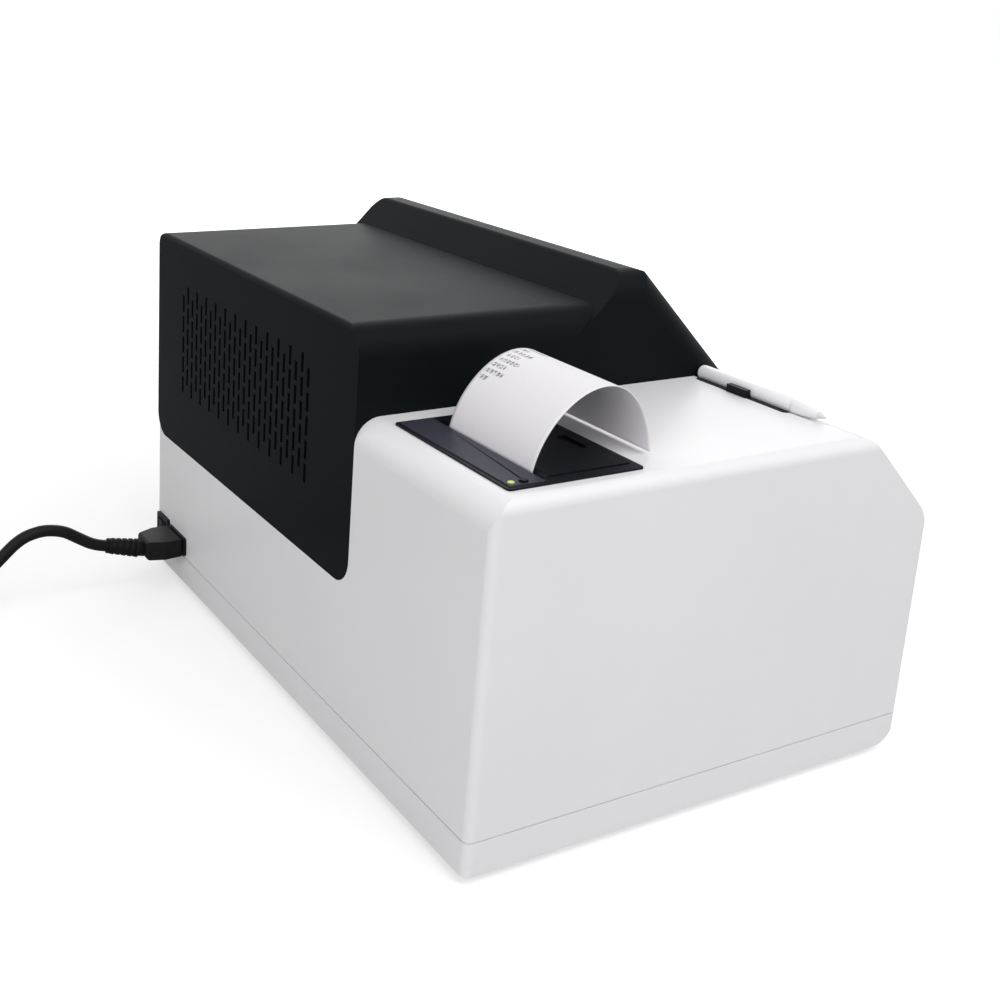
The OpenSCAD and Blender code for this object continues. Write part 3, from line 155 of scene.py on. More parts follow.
def vectors(tree, operation, first, second=None):
    node = addNode(tree, "ShaderNodeVectorMath", operation=operation)
    for slot, value in enumerate((first, second)):
        if value is None:
            continue
        if isinstance(value, tuple):
            node.inputs[slot].default_value = value
        else:
            tree.links.new(value, node.inputs[slot])
    return node.outputs["Value" if operation == "LENGTH" else "Vector"]


def objectPlace(tree):
    return tree.nodes.new("ShaderNodeTexCoord").outputs["Object"]


def split(tree, vector):
    axes = tree.nodes.new("ShaderNodeSeparateXYZ")
    tree.links.new(vector, axes.inputs["Vector"])
    return axes.outputs


def noise(tree, place, **values):
    node = addNode(tree, "ShaderNodeTexNoise", **values)
    tree.links.new(place, node.inputs["Vector"])
    return node


def dent(tree, shader, height, strength, distance):
    bump = addNode(tree, "ShaderNodeBump", Strength=strength, Distance=distance)
    tree.links.new(height, bump.inputs["Height"])
    tree.links.new(bump.outputs["Normal"], shader.inputs["Normal"])


# moulded skin: fine spark texture, faint flow clouds in tone, roughness that follows both
def makeMouldedSkin():
    group, start, end = makeGroup(
        "mouldedSkin",
        [("Place", "NodeSocketVector", None), ("Tone", "NodeSocketColor", (0.8, 0.8, 0.8, 1)),
         ("Cloud Tone", "NodeSocketColor", (0.75, 0.75, 0.75, 1)), ("Grain Scale", "NodeSocketFloat", 1400.0),
         ("Roughness Low", "NodeSocketFloat", 0.3), ("Roughness High", "NodeSocketFloat", 0.45)],
        [("Color", "NodeSocketColor"), ("Roughness", "NodeSocketFloat"), ("Height", "NodeSocketFloat")],
    )
    link = group.links.new
    cloud = noise(group, start.outputs["Place"], Scale=9.0, Detail=4.0, Roughness=0.6).outputs["Fac"]
    spark = noise(group, start.outputs["Place"], Detail=2.0, Roughness=0.7)
    link(start.outputs["Grain Scale"], spark.inputs["Scale"])
    grain = spark.outputs["Fac"]
    tone = blend(group, ramp(group, cloud, (0.35, 0.65), smooth=True),
                 start.outputs["Tone"], start.outputs["Cloud Tone"])
    rough = ramp(group, sums(group, "MULTIPLY", cloud, grain), (0.12, 0.4),
                 (start.outputs["Roughness Low"], start.outputs["Roughness High"]))
    link(tone, end.inputs["Color"])
    link(rough, end.inputs["Roughness"])
    link(grain, end.inputs["Height"])
    return group


mouldedSkin = makeMouldedSkin()


def moulded(name, tone, cloud, grain, rough, bump, specular=0.5):
    mat, tree, shader = newMaterial(name)
    skin = addNode(tree, "ShaderNodeGroup", node_tree=mouldedSkin, name="skin")
    skin.inputs["Tone"].default_value = (*tone, 1)
    skin.inputs["Cloud Tone"].default_value = (*cloud, 1)
    skin.inputs["Grain Scale"].default_value = grain
    skin.inputs["Roughness Low"].default_value, skin.inputs["Roughness High"].default_value = rough
    link = tree.links.new
    link(objectPlace(tree), skin.inputs["Place"])
    link(skin.outputs["Color"], shader.inputs["Base Color"])
    link(skin.outputs["Roughness"], shader.inputs["Roughness"])
    dent(tree, shader, skin.outputs["Height"], bump, 0.4 * mm)
    shader.inputs["Specular IOR Level"].default_value = specular
    return mat


# brushed or rolled metal: long scratches along one axis
def makeRolledMetal():
    group, start, end = makeGroup(
        "rolledMetal",
        [("Place", "NodeSocketVector", None), ("Tone", "NodeSocketColor", (0.6, 0.6, 0.6, 1)),
         ("Stretch", "NodeSocketVector", (30.0, 900.0, 900.0)), ("Roughness Low", "NodeSocketFloat", 0.25),
         ("Roughness High", "NodeSocketFloat", 0.45)],
        [("Color", "NodeSocketColor"), ("Roughness", "NodeSocketFloat"), ("Height", "NodeSocketFloat")],
    )
    link = group.links.new
    stretched = vectors(group, "MULTIPLY", start.outputs["Place"], start.outputs["Stretch"])
    lines = noise(group, stretched, Scale=1.0, Detail=3.0, Roughness=0.6).outputs["Fac"]
    rough = ramp(group, lines, (0.3, 0.7), (start.outputs["Roughness Low"], start.outputs["Roughness High"]))
    shade = addNode(group, "ShaderNodeVectorMath", operation="SCALE")
    link(start.outputs["Tone"], shade.inputs[0])
    link(ramp(group, lines, (0.25, 0.75), (0.86, 1.06)), shade.inputs["Scale"])
    link(shade.outputs["Vector"], end.inputs["Color"])
    link(rough, end.inputs["Roughness"])
    link(lines, end.inputs["Height"])
    return group


rolledMetal = makeRolledMetal()


def metal(name, tone, stretch, rough, bump):
    mat, tree, shader = newMaterial(name)
    sheet = addNode(tree, "ShaderNodeGroup", node_tree=rolledMetal)
    sheet.inputs["Tone"].default_value = (*tone, 1)
    sheet.inputs["Stretch"].default_value = stretch
    sheet.inputs["Roughness Low"].default_value, sheet.inputs["Roughness High"].default_value = rough
    link = tree.links.new
    link(objectPlace(tree), sheet.inputs["Place"])
    link(sheet.outputs["Color"], shader.inputs["Base Color"])
    link(sheet.outputs["Roughness"], shader.inputs["Roughness"])
    dent(tree, shader, sheet.outputs["Height"], bump, 0.2 * mm)
    shader.inputs["Metallic"].default_value = 1.0
    return mat


mouldedLooks = {
    "caseWhite": {"tone": (0.80, 0.79, 0.805), "cloud": (0.785, 0.775, 0.79), "grain": 1700,
                  "rough": (0.30, 0.40), "bump": 0.03, "specular": 0.3},
    "hoodBlack": {"tone": (0.0045, 0.006, 0.0070), "cloud": (0.006, 0.0075, 0.0088), "grain": 1500,
                  "rough": (0.42, 0.54), "bump": 0.10, "specular": 0.035},
    "panelBlack": {"tone": (0.006, 0.007, 0.010), "cloud": (0.008, 0.009, 0.012), "grain": 1500,
                   "rough": (0.34, 0.48), "bump": 0.08, "specular": 0.10},
    "stripSlate": {"tone": (0.036, 0.036, 0.050), "cloud": (0.042, 0.042, 0.057), "grain": 1200,
                   "rough": (0.30, 0.42), "bump": 0.05, "specular": 0.07},
    "penWhite": {"tone": (0.82, 0.81, 0.825), "cloud": (0.80, 0.79, 0.81), "grain": 1500,
                 "rough": (0.2, 0.3), "bump": 0.02, "specular": 0.35},
    "penTip": {"tone": (0.66, 0.68, 0.69), "cloud": (0.62, 0.64, 0.65), "grain": 1500,
               "rough": (0.22, 0.34), "bump": 0.03, "specular": 0.35},
    "leadRubber": {"tone": (0.005, 0.005, 0.0055), "cloud": (0.008, 0.008, 0.0085), "grain": 900,
                   "rough": (0.45, 0.6), "bump": 0.12, "specular": 0.15},
    "footRubber": {"tone": (0.02, 0.02, 0.02), "cloud": (0.028, 0.028, 0.028), "grain": 700,
                   "rough": (0.6, 0.8), "bump": 0.2, "specular": 0.2},
    "trayGrey": {"tone": (0.50, 0.52, 0.54), "cloud": (0.47, 0.49, 0.51), "grain": 1300,
                 "rough": (0.35, 0.5), "bump": 0.06},
    "carriageBlack": {"tone": (0.02, 0.02, 0.023), "cloud": (0.026, 0.026, 0.03), "grain": 1100,
                      "rough": (0.4, 0.55), "bump": 0.1, "specular": 0.25},
    "boardGreen": {"tone": (0.012, 0.075, 0.035), "cloud": (0.016, 0.09, 0.042), "grain": 600,
                   "rough": (0.3, 0.45), "bump": 0.08},
    "displayDark": {"tone": (0.012, 0.016, 0.022), "cloud": (0.016, 0.020, 0.028), "grain": 500,
                    "rough": (0.35, 0.45), "bump": 0.02},
    "gasketFoam": {"tone": (0.02, 0.02, 0.02), "cloud": (0.03, 0.03, 0.03), "grain": 500,
                   "rough": (0.8, 0.95), "bump": 0.3, "specular": 0.2},
}
metalLooks = {
    "steel": {"tone": (0.62, 0.62, 0.64), "stretch": (30, 900, 900),
              "rough": (0.22, 0.42), "bump": 0.03},
    "zincSheet": {"tone": (0.56, 0.58, 0.60), "stretch": (220, 260, 300),
                  "rough": (0.32, 0.55), "bump": 0.05},
    "motorBlack": {"tone": (0.06, 0.06, 0.065), "stretch": (300, 300, 300),
                   "rough": (0.4, 0.55), "bump": 0.08},
}
finishes = {name: moulded(name, **look) for name, look in mouldedLooks.items()}
finishes.update({name: metal(name, **look) for name, look in metalLooks.items()})


# touch glass: black border, a slightly paler sensing field, faint wipe marks in the gloss
screenLook = {
    "sideBorder": 8.0, "endBorder": 5.0, "fade": 0.3,
    "border": (0.004, 0.004, 0.005), "field": (0.016, 0.020, 0.028),
    "wipeScale": 26.0, "rough": (0.05, 0.16), "specular": 0.16,
}


def makeScreenGlass(s):
    low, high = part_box("touch_glass")
    mat, tree, shader = newMaterial("screenGlass")
    place = objectPlace(tree)
    axes = split(tree, place)
    side, end, fade = (s[key] * mm for key in ("sideBorder", "endBorder", "fade"))
    wide = between(tree, axes["X"], low[0] + side, high[0] - side, fade)
    tall = between(tree, axes["Z"], low[2] + end, high[2] - end, fade)
    tone = blend(tree, sums(tree, "MULTIPLY", wide, tall), s["border"], s["field"])
    wipe = noise(tree, place, Scale=s["wipeScale"], Detail=5.0, Distortion=1.2)
    tree.links.new(tone, shader.inputs["Base Color"])
    tree.links.new(ramp(tree, wipe.outputs["Fac"], (0.4, 0.75), s["rough"]), shader.inputs["Roughness"])
    shader.inputs["Specular IOR Level"].default_value = s["specular"]
    return mat


# status lamp: clear yellow-green lens, brightest in its middle
lampLook = {
    "reach": 1.6, "middle": (0.75, 0.90, 0.16), "rim": (0.22, 0.36, 0.03), "body": (0.25, 0.34, 0.05),
    "glow": 0.55, "rough": 0.2,
}


def makeLampLens(s):
    low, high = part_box("status_led")
    mat, tree, shader = newMaterial("lampLens")
    centre = ((low[0] + high[0]) / 2, (low[1] + high[1]) / 2, high[2])
    away = vectors(tree, "LENGTH", vectors(tree, "SUBTRACT", objectPlace(tree), centre))
    tone = blend(tree, ramp(tree, away, (0, s["reach"] * mm), smooth=True), s["middle"], s["rim"])
    tree.links.new(tone, shader.inputs["Emission Color"])
    shader.inputs["Emission Strength"].default_value = s["glow"]
    shader.inputs["Base Color"].default_value = (*s["body"], 1)
    shader.inputs["Roughness"].default_value = s["rough"]
    return mat


# paper roll: wound edges show as fine rings round the spindle
rollLook = {
    "ringPitch": 0.35, "coreRadius": 4.6, "light": (0.80, 0.79, 0.82), "dark": (0.68, 0.67, 0.70),
    "core": (0.03, 0.03, 0.035), "rough": 0.75, "specular": 0.2,
}


def makeRollPaper(s):
    low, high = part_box("paper_roll")
    mat, tree, shader = newMaterial("rollPaper")
    centre = (0.0, (low[1] + high[1]) / 2, (low[2] + high[2]) / 2)
    flat = vectors(tree, "MULTIPLY", vectors(tree, "SUBTRACT", objectPlace(tree), centre), (0.0, 1.0, 1.0))
    away = vectors(tree, "LENGTH", flat)
    wound = sums(tree, "SINE", sums(tree, "MULTIPLY", away, 2 * math.pi / (s["ringPitch"] * mm)))
    tone = blend(tree, ramp(tree, wound, (-1, 1)), s["light"], s["dark"])
    core = sums(tree, "LESS_THAN", away, s["coreRadius"] * mm)
    tree.links.new(blend(tree, core, tone, s["core"]), shader.inputs["Base Color"])
    shader.inputs["Roughness"].default_value = s["rough"]
    shader.inputs["Specular IOR Level"].default_value = s["specular"]
    return mat


# detector window: clear glass with a faint cool tint
windowLook = {"hazeScale": 160.0, "rough": (0.02, 0.09), "tint": (0.80, 0.90, 0.94), "clear": 0.85}


def makeWindowGlass(s):
    mat, tree, shader = newMaterial("windowGlass")
    haze = noise(tree, objectPlace(tree), Scale=s["hazeScale"], Detail=3.0)
    tree.links.new(ramp(tree, haze.outputs["Fac"], target=s["rough"]), shader.inputs["Roughness"])
    shader.inputs["Base Color"].default_value = (*s["tint"], 1)
    shader.inputs["Transmission Weight"].default_value = s["clear"]
    return mat


# mains plug: rubber body, plated blades past the front of the body
plugLook = {"bladeLength": 16.9, "blade": (0.62, 0.60, 0.55), "specular": 0.3}


def makePlugRubber(s):
    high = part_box("mains_plug")[1]
    mat = finishes["leadRubber"].copy()
    mat.name = "plugRubber"
    tree = mat.node_tree
    shader = tree.nodes["Principled BSDF"]
    across = split(tree, objectPlace(tree))["X"]
    blade = sums(tree, "GREATER_THAN", across, high[0] - s["bladeLength"] * mm)
    tone = blend(tree, blade, tree.nodes["skin"].outputs["Color"], s["blade"])
    tree.links.new(tone, shader.inputs["Base Color"])
    tree.links.new(blade, shader.inputs["Metallic"])
    shader.inputs["Specular IOR Level"].default_value = s["specular"]
    return mat


finishes["screenGlass"] = makeScreenGlass(screenLook)
finishes["lampLens"] = makeLampLens(lampLook)
finishes["rollPaper"] = makeRollPaper(rollLook)
finishes["windowGlass"] = makeWindowGlass(windowLook)
finishes["plugRubber"] = makePlugRubber(plugLook)


def paint(name, finish):
    node = nodes[name]
    node.data.materials.clear()
    node.data.materials.append(finishes[finish])


nodeFinish = {
    "caseWhite": ["base_tray", "body_shell", "drawer_front"],
    "hoodBlack": ["hood"],
    # stylus_clip is a real black clip block, but it also carries a black rest strip under the stylus; that
    # strip's black is painted shade standing in for the shadow line in the stylus groove
    "panelBlack": ["printer_frame", "printer_door", "feed_button", "stylus_clip", "switch_housing",
                   "switch_rocker", "power_inlet", "fan_frame", "fan_rotor", "detector_housing"],
    "stripSlate": ["printer_strip"],
    "penWhite": ["stylus"],
    "leadRubber": ["lead_connector", "cord_tie", "cord_lead", "cord_coil", "drawer_belt",
                   "head_belt"],
    "plugRubber": ["mains_plug"],
    "footRubber": ["rubber_feet", "platen_roller"],
    "trayGrey": ["strip_tray"],
    "carriageBlack": ["head_carriage", "drawer_clamp"],
    "boardGreen": ["main_board"],
    "displayDark": ["lcd_panel"],
    "gasketFoam": ["screen_gasket"],
    "screenGlass": ["touch_glass"],
    "lampLens": ["status_led"],
    "rollPaper": ["paper_roll", "paper_strip"],
    "windowGlass": ["detector_window"],
    "steel": ["case_screws", "chassis_screws", "fan_screws", "guide_rods", "drawer_runners",
              "drawer_pulley", "drawer_idler", "head_pulley", "head_idler", "board_standoffs"],
    "zincSheet": ["chassis_plate", "drawer_rails", "drawer_brackets", "rod_brackets", "head_brackets",
                  "print_head"],
    "motorBlack": ["drawer_motor", "head_motor", "power_supply"],
}
for finish, names in nodeFinish.items():
    for name in names:
        paint(name, finish)
print("finishes set")


# geometry nodes: a tube swept along the edges of a line
def makeSweepTree():
    tree = bpy.data.node_groups.new("sweepAlongLine", "GeometryNodeTree")
    face = tree.interface
    face.new_socket("Geometry", in_out="INPUT", socket_type="NodeSocketGeometry")
    face.new_socket("Radius", in_out="INPUT", socket_type="NodeSocketFloat")
    face.new_socket("Sides", in_out="INPUT", socket_type="NodeSocketInt")
    face.new_socket("Finish", in_out="INPUT", socket_type="NodeSocketMaterial")
    face.new_socket("Geometry", in_out="OUTPUT", socket_type="NodeSocketGeometry")
    start = tree.nodes.new("NodeGroupInput")
    end = tree.nodes.new("NodeGroupOutput")
    curve = tree.nodes.new("GeometryNodeMeshToCurve")
    ring = tree.nodes.new("GeometryNodeCurvePrimitiveCircle")
    sweep = tree.nodes.new("GeometryNodeCurveToMesh")
    smooth = tree.nodes.new("GeometryNodeSetShadeSmooth")
    real = tree.nodes.new("GeometryNodeRealizeInstances")
    cover = tree.nodes.new("GeometryNodeSetMaterial")
    link = tree.links.new
    link(start.outputs["Geometry"], curve.inputs["Mesh"])
    link(start.outputs["Radius"], ring.inputs["Radius"])
    link(start.outputs["Sides"], ring.inputs["Resolution"])
    link(curve.outputs["Curve"], sweep.inputs["Curve"])
    link(ring.outputs["Curve"], sweep.inputs["Profile Curve"])
    sweep.inputs["Fill Caps"].default_value = True
    link(sweep.outputs["Mesh"], smooth.inputs["Geometry"])
    link(smooth.outputs["Geometry"], real.inputs["Geometry"])
    link(real.outputs["Geometry"], cover.inputs["Geometry"])
    link(start.outputs["Finish"], cover.inputs["Material"])
    link(cover.outputs["Geometry"], end.inputs["Geometry"])
    return tree


def grow(name, seedMesh, tree, values):
    seed = bpy.data.objects.new(name + "Seed", seedMesh)
    scene.collection.objects.link(seed)
    made = seed.modifiers.new("grow", "NODES")
    made.node_group = tree
    for item in tree.interface.items_tree:
        if item.item_type == "SOCKET" and item.in_out == "INPUT" and item.name in values:
            made[item.identifier] = values[item.name]
    bpy.context.view_layer.update()
    grown = seed.evaluated_get(bpy.context.evaluated_depsgraph_get())
    mesh = bpy.data.meshes.new_from_object(grown)
    mesh.name = name
    bpy.data.objects.remove(seed)
    piece = bpy.data.objects.new(name, mesh)
    scene.collection.objects.link(piece)
    return piece


# mains lead: one tube from the strain relief over the hump into the coil
leadRoute = {
    "x": 131.0, "rearFoot": 109.0, "diameter": 6.0, "sides": 18,
    "line": [(34.2, 26.05), (38.1, 27), (41, 27.7), (43.9, 28.7), (46.7, 30), (49.3, 31.6), (52.6, 33.8),
             (56, 36.1), (58.8, 37.8), (61.8, 39), (64.9, 39.8), (68.2, 40.3), (71.4, 40.3), (74.6, 39.8),
             (77.8, 39), (80.8, 37.7), (83.5, 36), (86.1, 34), (92.5, 28.2), (99, 22.4), (105.5, 16.5),
             (111.7, 11), (115.5, 8.1), (119.8, 6), (124.3, 4.7), (129.1, 4.3), (134, 4.3), (140, 4.3)],
    "coilRadius": 45.0, "coilStep": 6.6, "turns": 6.25, "perTurn": 24,
    "coilBehind": 146.0, "coilHeight": 4.3, "layer": 6.6, "smoothing": 2,
}


def leadPoints(r):
    points = [Vector((r["x"], r["rearFoot"] + y, z)) for y, z in r["line"]]
    middle = Vector((r["x"] + r["coilRadius"], r["rearFoot"] + r["coilBehind"], 0))
    half = r["turns"] / 2
    count = round(r["turns"] * r["perTurn"])
    for i in range(count + 1):
        t = i / r["perTurn"]
        radius = r["coilRadius"] - r["coilStep"] * (half - abs(t - half))
        climb = min(1.0, max(0.0, (t - half) * 2 + 0.5))
        z = r["coilHeight"] + r["layer"] * (1 - math.cos(math.pi * climb)) / 2
        a = math.pi - 2 * math.pi * t
        points.append(middle + Vector((radius * math.cos(a), radius * math.sin(a), z)))
    points.append(points[-1] + Vector((r["diameter"], 0, 0)))
    return [p * mm for p in points]


def smoothLine(points, steps):
    line = []
    for i in range(len(points) - 1):
        a, b, c, d = (points[min(max(j, 0), len(points) - 1)] for j in (i - 1, i, i + 1, i + 2))
        for k in range(steps):
            t = k / steps
            line.append(0.5 * ((2 * b) + (c - a) * t + (2 * a - 5 * b + 4 * c - d) * t * t
                               + (3 * b - a - 3 * c + d) * t ** 3))
    line.append(points[-1])
    return line


def makeLead(r):
    route = smoothLine(leadPoints(r), r["smoothing"])
    mesh = bpy.data.meshes.new("leadLine")
    mesh.from_pydata(route, [(i, i + 1) for i in range(len(route) - 1)], [])
    lead = grow("mainsLead", mesh, makeSweepTree(),
                {"Radius": r["diameter"] / 2 * mm, "Sides": r["sides"], "Finish": finishes["leadRubber"]})
    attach(lead, "analyzer")
    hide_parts("cord_lead", "cord_coil")


makeLead(leadRoute)

# printed paper: stands in the slot, arches over the door, ends just over the case top
paperStrip = {
    "middle": -115.0, "width": 57.0, "thick": 0.3, "foot": 3.0,
    "below": (76.45, 123.5),
    "arch": [(76.45, 143.5), (70.45, 171.833), (31.0, 189.833), (24.4, 144.7)],
    "across": 38, "along": 72, "uvScale": 150.0,
    "rowPitch": 3.5, "rowBand": (0.16, 0.74), "rowReach": (5.0, 9.0),
    "markPitch": 2.4, "markBand": (0.1, 0.84), "bandFade": 0.05, "dot": (0.42, 0.48), "dotGap": 0.3,
    "printFrom": 42.0, "printTo": 84.0, "margin": 1.6,
    "sheet": (0.80, 0.785, 0.815), "fibre": (0.775, 0.76, 0.79), "ink": (0.10, 0.095, 0.11), "inkWeight": 0.8,
    "fibreScale": 420.0, "rough": (0.5, 0.65), "bump": 0.05, "specular": 0.2,
}


def archPoint(b, t):
    return tuple((1 - t) ** 3 * b[0][i] + 3 * t * (1 - t) ** 2 * b[1][i] + 3 * t * t * (1 - t) * b[2][i]
                 + t ** 3 * b[3][i] for i in (0, 1))


def makePaperPrint(p):
    mat, tree, shader = newMaterial("paperPrint")
    link = tree.links.new
    axes = split(tree, tree.nodes.new("ShaderNodeUVMap").outputs["UV"])
    across = sums(tree, "MULTIPLY", axes["X"], p["uvScale"])
    along = sums(tree, "MULTIPLY", axes["Y"], p["uvScale"])
    # rows of short marks from the margin, each row with its own length
    rowAt = sums(tree, "DIVIDE", along, p["rowPitch"])
    inRow = between(tree, sums(tree, "FRACT", rowAt), *p["rowBand"], p["bandFade"])
    rowLength = addNode(tree, "ShaderNodeTexWhiteNoise", noise_dimensions="1D")
    link(sums(tree, "FLOOR", rowAt), rowLength.inputs["W"])
    shortest, spread = p["rowReach"]
    extra = sums(tree, "MULTIPLY", rowLength.outputs["Value"], spread)
    reach = sums(tree, "ADD", extra, p["margin"] + shortest)
    before = sums(tree, "LESS_THAN", across, reach)
    after = sums(tree, "GREATER_THAN", across, p["margin"])
    markAt = sums(tree, "DIVIDE", across, p["markPitch"])
    inMark = between(tree, sums(tree, "FRACT", markAt), *p["markBand"], p["bandFade"])
    cell = tree.nodes.new("ShaderNodeCombineXYZ")
    for axis, run, size in zip("XY", (across, along), p["dot"]):
        link(sums(tree, "FLOOR", sums(tree, "DIVIDE", run, size)), cell.inputs[axis])
    dots = addNode(tree, "ShaderNodeTexWhiteNoise", noise_dimensions="2D")
    link(cell.outputs["Vector"], dots.inputs["Vector"])
    ink = sums(tree, "GREATER_THAN", dots.outputs["Value"], p["dotGap"])
    printed = between(tree, along, p["printFrom"], p["printTo"], p["bandFade"])
    for part in (inRow, before, after, inMark, printed):
        ink = sums(tree, "MULTIPLY", ink, part)
    fibre = noise(tree, objectPlace(tree), Scale=p["fibreScale"], Detail=3.0).outputs["Fac"]
    sheet = blend(tree, fibre, p["sheet"], p["fibre"])
    inked = sums(tree, "MULTIPLY", ink, p["inkWeight"])
    link(blend(tree, inked, sheet, p["ink"]), shader.inputs["Base Color"])
    link(ramp(tree, fibre, target=p["rough"]), shader.inputs["Roughness"])
    dent(tree, shader, fibre, p["bump"], 0.1 * mm)
    shader.inputs["Specular IOR Level"].default_value = p["specular"]
    return mat


def makePaper(p):
    line = [p["below"], (p["below"][0], (p["below"][1] + p["arch"][0][1]) / 2)]
    line += [archPoint(p["arch"], i / p["along"]) for i in range(p["along"] + 1)]
    run = [0.0]
    for a, b in zip(line, line[1:]):
        run.append(run[-1] + math.dist(a, b))
    verts, faces = [], []
    n = p["across"] + 1
    edge = p["middle"] + p["width"] / 2
    for y, z in line:
        for i in range(n):
            verts.append(Vector((edge - p["width"] * i / p["across"], y, z + p["foot"])) * mm)
    for k in range(len(line) - 1):
        for i in range(p["across"]):
            faces.append((k * n + i, k * n + i + 1, (k + 1) * n + i + 1, (k + 1) * n + i))
    mesh = bpy.data.meshes.new("paperSheet")
    mesh.from_pydata(verts, [], faces)
    uv = mesh.uv_layers.new(name="flat")
    for loop in mesh.loops:
        k, i = divmod(loop.vertex_index, n)
        uv.data[loop.index].uv = (p["width"] * i / p["across"] / p["uvScale"], run[k] / p["uvScale"])
    mesh.shade_smooth()
    mesh.materials.append(makePaperPrint(p))
    sheet = bpy.data.objects.new("paperSheet", mesh)
    scene.collection.objects.link(sheet)
    wall = sheet.modifiers.new("wall", "SOLIDIFY")
    wall.thickness = p["thick"] * mm
    wall.offset = 0.0
    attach(sheet, "analyzer")
    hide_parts("paper_strip")
    print("paper length:", round(run[-1], 1), "mm")


makePaper(paperStrip)

# stylus: turned barrel with a rounded back end, a parting groove and a slim clear-grey point
penShape = {
    "end": -64.5, "y": -68.0, "z": 148.75, "radius": 3.25, "length": 76.5, "tip": 18.0, "sides": 48,
    "endSteps": 6, "tipSteps": 16, "greyTip": 0.3,
    "groove": [(1.0, 1.0), (0.7, 0.95), (0.4, 0.95), (0.1, 1.0)],
}


def makePen(p):
    r, long, tip = p["radius"], p["length"], p["tip"]
    profile = [(0, 0.0)]
    profile += [(0.5 * r * (1 - math.cos(a)), r * (0.55 + 0.45 * math.sin(a)))
                for a in (math.pi / 2 * k / p["endSteps"] for k in range(p["endSteps"] + 1))]
    body = long - tip
    profile.append((body * 0.5, r))
    profile += [(body - back, r * share) for back, share in p["groove"]]
    profile += [(body + tip * t, r * (1 - t ** 1.9) ** 0.9)
                for t in (k / p["tipSteps"] for k in range(1, p["tipSteps"]))]
    profile.append((long, 0.0))
    sides = p["sides"]
    verts, faces, marks, rings = [], [], [], []
    for x, radius in profile:
        if radius == 0:
            rings.append([len(verts)])
            verts.append((p["end"] - x, p["y"], p["z"]))
            continue
        ring = []
        for j in range(sides):
            a = 2 * math.pi * j / sides
            ring.append(len(verts))
            verts.append((p["end"] - x, p["y"] + radius * math.cos(a), p["z"] + radius * math.sin(a)))
        rings.append(ring)
    for k in range(len(rings) - 1):
        one, two = rings[k], rings[k + 1]
        for j in range(sides):
            i = (j + 1) % sides
            if len(one) == 1:
                faces.append((one[0], two[j], two[i]))
            elif len(two) == 1:
                faces.append((one[j], two[0], one[i]))
            else:
                faces.append((one[j], two[j], two[i], one[i]))
            marks.append(1 if profile[k][0] > long - tip * p["greyTip"] else 0)
    mesh = bpy.data.meshes.new("stylusPen")
    mesh.from_pydata([Vector(v) * mm for v in verts], [], faces)
    mesh.materials.append(finishes["penWhite"])
    mesh.materials.append(finishes["penTip"])
    for poly, mark in zip(mesh.polygons, marks):
        poly.material_index = mark
    work = bmesh.new()
    work.from_mesh(mesh)
    bmesh.ops.recalc_face_normals(work, faces=work.faces)
    work.to_mesh(mesh)
    work.free()
    mesh.shade_smooth()
    pen = bpy.data.objects.new("stylusPen", mesh)
    scene.collection.objects.link(pen)
    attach(pen, "pen")
    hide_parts("stylus")


makePen(penShape)
print("paper and stylus made")


# soften the edges of simple rigid solids; the meshes themselves stay as they are
softEdge = {
    "nodes": ["printer_strip", "printer_door", "drawer_front"],
    "width": 0.25, "segments": 2, "angle": 30, "weld": 0.001,
}


def soften(node, s):
    weld = node.modifiers.new("weld", "WELD")
    weld.merge_threshold = s["weld"] * mm
    bevel = node.modifiers.new("edge", "BEVEL")
    bevel.width = s["width"] * mm
    bevel.segments = s["segments"]
    bevel.limit_method = "ANGLE"
    bevel.angle_limit = math.radians(s["angle"])
    bevel.harden_normals = True
    bevel.use_clamp_overlap = True


for name in softEdge["nodes"]:
    soften(nodes[name], softEdge)

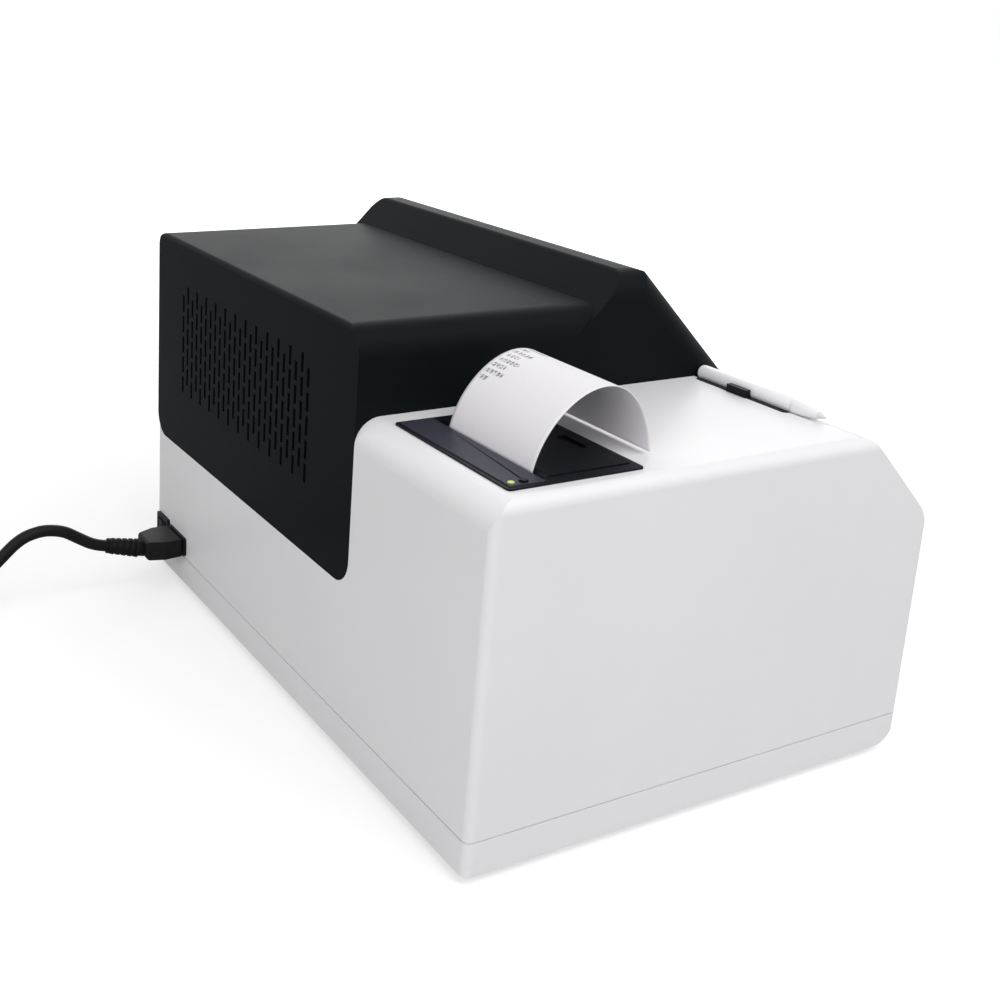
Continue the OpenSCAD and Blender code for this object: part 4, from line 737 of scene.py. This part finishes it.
# studio: pale floor that runs out to white, white surround, broad lamps at the printer side, rear and front
studio = {
    "floor": 0.52, "floorHalf": 6.0, "floorDrop": 0.3, "sky": 0.47,
    "near": 0.56, "nearReach": 0.35, "farReach": 0.9, "aim": (0, 0, 0.1),
    "lamps": {
        "keyLamp": {"power": 17.0, "place": (-0.95, -0.25, 1.5), "size": (1.3, 1.3)},
        "fillLamp": {"power": 14.0, "place": (-0.95, 1.75, 0.75), "size": (1.5, 1.2)},
        "backLamp": {"power": 9.0, "place": (1.75, -1.05, 1.0), "size": (1.8, 1.5)},
    },
}


def makeStudio(setup):
    world = bpy.data.worlds.new("studioWorld")
    scene.world = world
    world.use_nodes = True
    tree = world.node_tree
    back = tree.nodes["Background"]
    back.inputs["Color"].default_value = (1, 1, 1, 1)
    path = tree.nodes.new("ShaderNodeLightPath")
    seen = sums(tree, "MAXIMUM", path.outputs["Is Camera Ray"], path.outputs["Is Transmission Ray"])
    seen = sums(tree, "MAXIMUM", seen, path.outputs["Is Glossy Ray"])
    tree.links.new(ramp(tree, seen, target=(setup["sky"], 1)), back.inputs["Strength"])

    mesh = bpy.data.meshes.new("floor")
    half = setup["floorHalf"]
    corners = [(-half, -half, 0), (half, -half, 0), (half, half, 0), (-half, half, 0)]
    mesh.from_pydata(corners, [], [(0, 1, 2, 3)])
    floor = bpy.data.objects.new("floor", mesh)
    floor.location.z = -setup["floorDrop"] * mm
    scene.collection.objects.link(floor)
    mat, tree, shader = newMaterial("floorPaper")
    shader.inputs["Base Color"].default_value = (setup["floor"],) * 3 + (1,)
    shader.inputs["Roughness"].default_value = 0.9
    shader.inputs["Specular IOR Level"].default_value = 0.1
    path = tree.nodes.new("ShaderNodeLightPath")
    away = vectors(tree, "LENGTH", objectPlace(tree))
    fade = ramp(tree, away, (setup["nearReach"], setup["farReach"]), (setup["near"], 1), smooth=True)
    lift = sums(tree, "MULTIPLY", path.outputs["Is Camera Ray"], fade)
    shader.inputs["Emission Color"].default_value = (1, 1, 1, 1)
    tree.links.new(lift, shader.inputs["Emission Strength"])
    mesh.materials.append(mat)

    for name, lamp in setup["lamps"].items():
        data = bpy.data.lights.new(name, "AREA")
        data.shape = "RECTANGLE"
        data.size, data.size_y = lamp["size"]
        data.energy = lamp["power"]
        light = bpy.data.objects.new(name, data)
        light.location = lamp["place"]
        beam = Vector(setup["aim"]) - Vector(lamp["place"])
        light.rotation_euler = beam.to_track_quat("-Z", "Y").to_euler()
        scene.collection.objects.link(light)


makeStudio(studio)
print("studio set")
